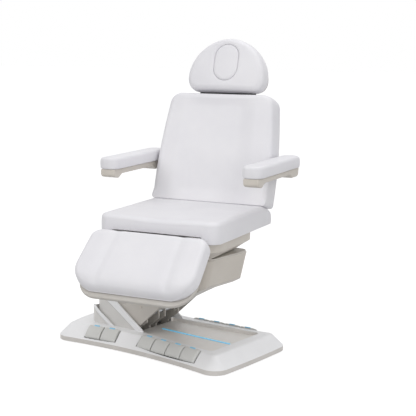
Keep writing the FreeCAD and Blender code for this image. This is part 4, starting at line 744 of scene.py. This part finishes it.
def pedal_mark(name, local):
    """A dash 32 by 9 mm that follows the pedal's arc, with its rim rounded in four steps."""
    plan = resampled([(-16, -7.5, 3), (16, -7.5, 3), (16, 1.5, 3), (-16, 1.5, 3)], 64)
    rings = []
    for inset, rise in ((0, -0.8), (0, 3.6), (0.5, 4.8), (1.4, 5.6), (2.6, 6.0)):
        shrunk = plan - outward(plan) * inset
        rings.append(np.column_stack([shrunk, np.polyval(PEDAL_ARC, shrunk[:, 1]) + rise]))
    middle = np.polyval(PEDAL_ARC, -3.0)
    points = np.vstack([[[0, -3.0, middle - 0.8]]] + rings + [[[0, -3.0, middle + 6.1]]])
    return make_mesh(name, place(points, local), ring_faces(len(rings), len(plan), (True, True)),
                     MARK)


pedal_pieces = []
for along, across, turn, count in ROWS:
    for index in range(count):
        number = len(pedal_pieces) // 2 + 1
        offset = (index - (count - 1) / 2) * PEDAL_PITCH
        local = (BASE @ Matrix.Translation((along, across, 0))
                 @ Matrix.Rotation(math.radians(turn), 4, "Z")
                 @ Matrix.Translation((offset, 0, 0)))
        pedal_pieces += [(pedal_cap("pedal_cap_%02d" % number, local), "pedal_%02d" % number),
                         (pedal_mark("pedal_mark_%02d" % number, local), "pedal_%02d" % number)]

# ---- What each piece rides on and stands for ----

for obj, body, replaced in (
        (seat, "seat", "seat_pad"), (back, "back", "back_pad"), (leg, "leg_rest", "leg_pad"),
        (arm_cushions[0], "arm_left", "arm_pad_left"),
        (arm_cushions[1], "arm_right", "arm_pad_right"),
        (headrest, "headrest", "headrest_pad"), (plug, "face_plug", "face_plug")):
    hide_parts(replaced)
    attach(obj, body)
# The headrest's dark foot strip in this list is painted shade in the gap under the headrest.
for obj, body, slot in ((leg_board, "leg_rest", "cushion_board"),
                        (head_board, "headrest", "cushion_board"),
                        (head_shade, "headrest", "drive_casing")):
    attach(obj, body)
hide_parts("leg_board")
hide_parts("headrest_board")
for obj, body in pedal_pieces:
    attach(obj, body)

# ---- Floor, light and camera ----

def seen_ray(tree):
    """1 for a ray that the camera sees straight, in a gloss or through glass, otherwise 0."""
    path = tree.nodes.new("ShaderNodeLightPath")
    value = path.outputs["Is Camera Ray"]
    for name in ("Is Glossy Ray", "Is Transmission Ray"):
        most = tree.nodes.new("ShaderNodeMath")
        most.operation = "MAXIMUM"
        tree.links.new(value, most.inputs[0])
        tree.links.new(path.outputs[name], most.inputs[1])
        value = most.outputs[0]
    return value


def floor_material():
    """Pale painted floor; a glow added where it is seen brings its lit parts to white."""
    n = Nodes("studio_floor")
    tone = n.ramp(n.noise(3, 2), 0.3, 0.7, linear("#B4B4B4"), linear("#B8B8B8"))
    n.finish(Base_Color=tone, Roughness=0.9)
    glow = n.add("ShaderNodeEmission", Color=(1, 1, 1, 1),
                 Strength=n.math("MULTIPLY", seen_ray(n.tree), 0.72))
    both = n.add("ShaderNodeAddShader")
    n.set(both, "0", n.surface.outputs[0])
    n.set(both, "1", glow.outputs[0])
    n.tree.links.new(both.outputs[0], n.out.inputs[0])
    return n.material


floor = make_mesh("studio_floor", [(-30, -30, 0), (30, -30, 0), (30, 30, 0), (-30, 30, 0)],
                  [(0, 1, 2, 3)], floor_material(), False)

world = bpy.data.worlds.new("studio")
world.use_nodes = True
scene.world = world
tree = world.node_tree
tree.nodes.clear()
out = tree.nodes.new("ShaderNodeOutputWorld")
for_camera = tree.nodes.new("ShaderNodeBackground")
for_camera.inputs[0].default_value = (1, 1, 1, 1)
for_light = tree.nodes.new("ShaderNodeBackground")
for_light.inputs[0].default_value = (0.98, 0.985, 1.0, 1)
for_light.inputs[1].default_value = 0.60
either = tree.nodes.new("ShaderNodeMixShader")
tree.links.new(seen_ray(tree), either.inputs[0])
tree.links.new(for_light.outputs[0], either.inputs[1])
tree.links.new(for_camera.outputs[0], either.inputs[2])
tree.links.new(either.outputs[0], out.inputs[0])


def area_light(name, spot, aim, power, width, colour=(1, 1, 1)):
    """A soft square light at a spot, aimed at a point."""
    data = bpy.data.lights.new(name, "AREA")
    data.energy = power
    data.size = width
    data.color = colour
    obj = bpy.data.objects.new(name, data)
    obj.location = spot
    obj.rotation_euler = (Vector(aim) - Vector(spot)).to_track_quat("-Z", "Y").to_euler()
    scene.collection.objects.link(obj)
    return obj


area_light("key", (-1.6, -3.6, 3.2), (0.1, 0, 0.5), 54, 2.4, (1.0, 0.99, 0.97))
area_light("fill", (3.4, -2.0, 1.8), (0.1, 0, 0.4), 41, 2.6)
area_light("low", (0.8, -4.2, 0.7), (0.1, 0, 0.1), 3, 2.0)
area_light("top", (0.3, 0.8, 4.0), (0.1, 0, 0.5), 34, 3.0)

# The photograph's own view: 22.38 degrees wide, turned 26.3 degrees and looking 9.71 down.
camera_data = bpy.data.cameras.new("camera")
camera_data.sensor_width = 36
camera_data.lens = camera_data.sensor_width / 2 / math.tan(math.radians(22.38 / 2))
camera = bpy.data.objects.new("camera", camera_data)
heading = math.radians(26.3)
pitch = math.radians(9.71)
look = Vector((-math.sin(heading) * math.cos(pitch), math.cos(heading) * math.cos(pitch),
               -math.sin(pitch)))
camera.location = (2.340, -4.314, 1.5)
camera.rotation_euler = look.to_track_quat("-Z", "Y").to_euler()
scene.collection.objects.link(camera)
scene.camera = camera
scene.view_settings.view_transform = "Standard"
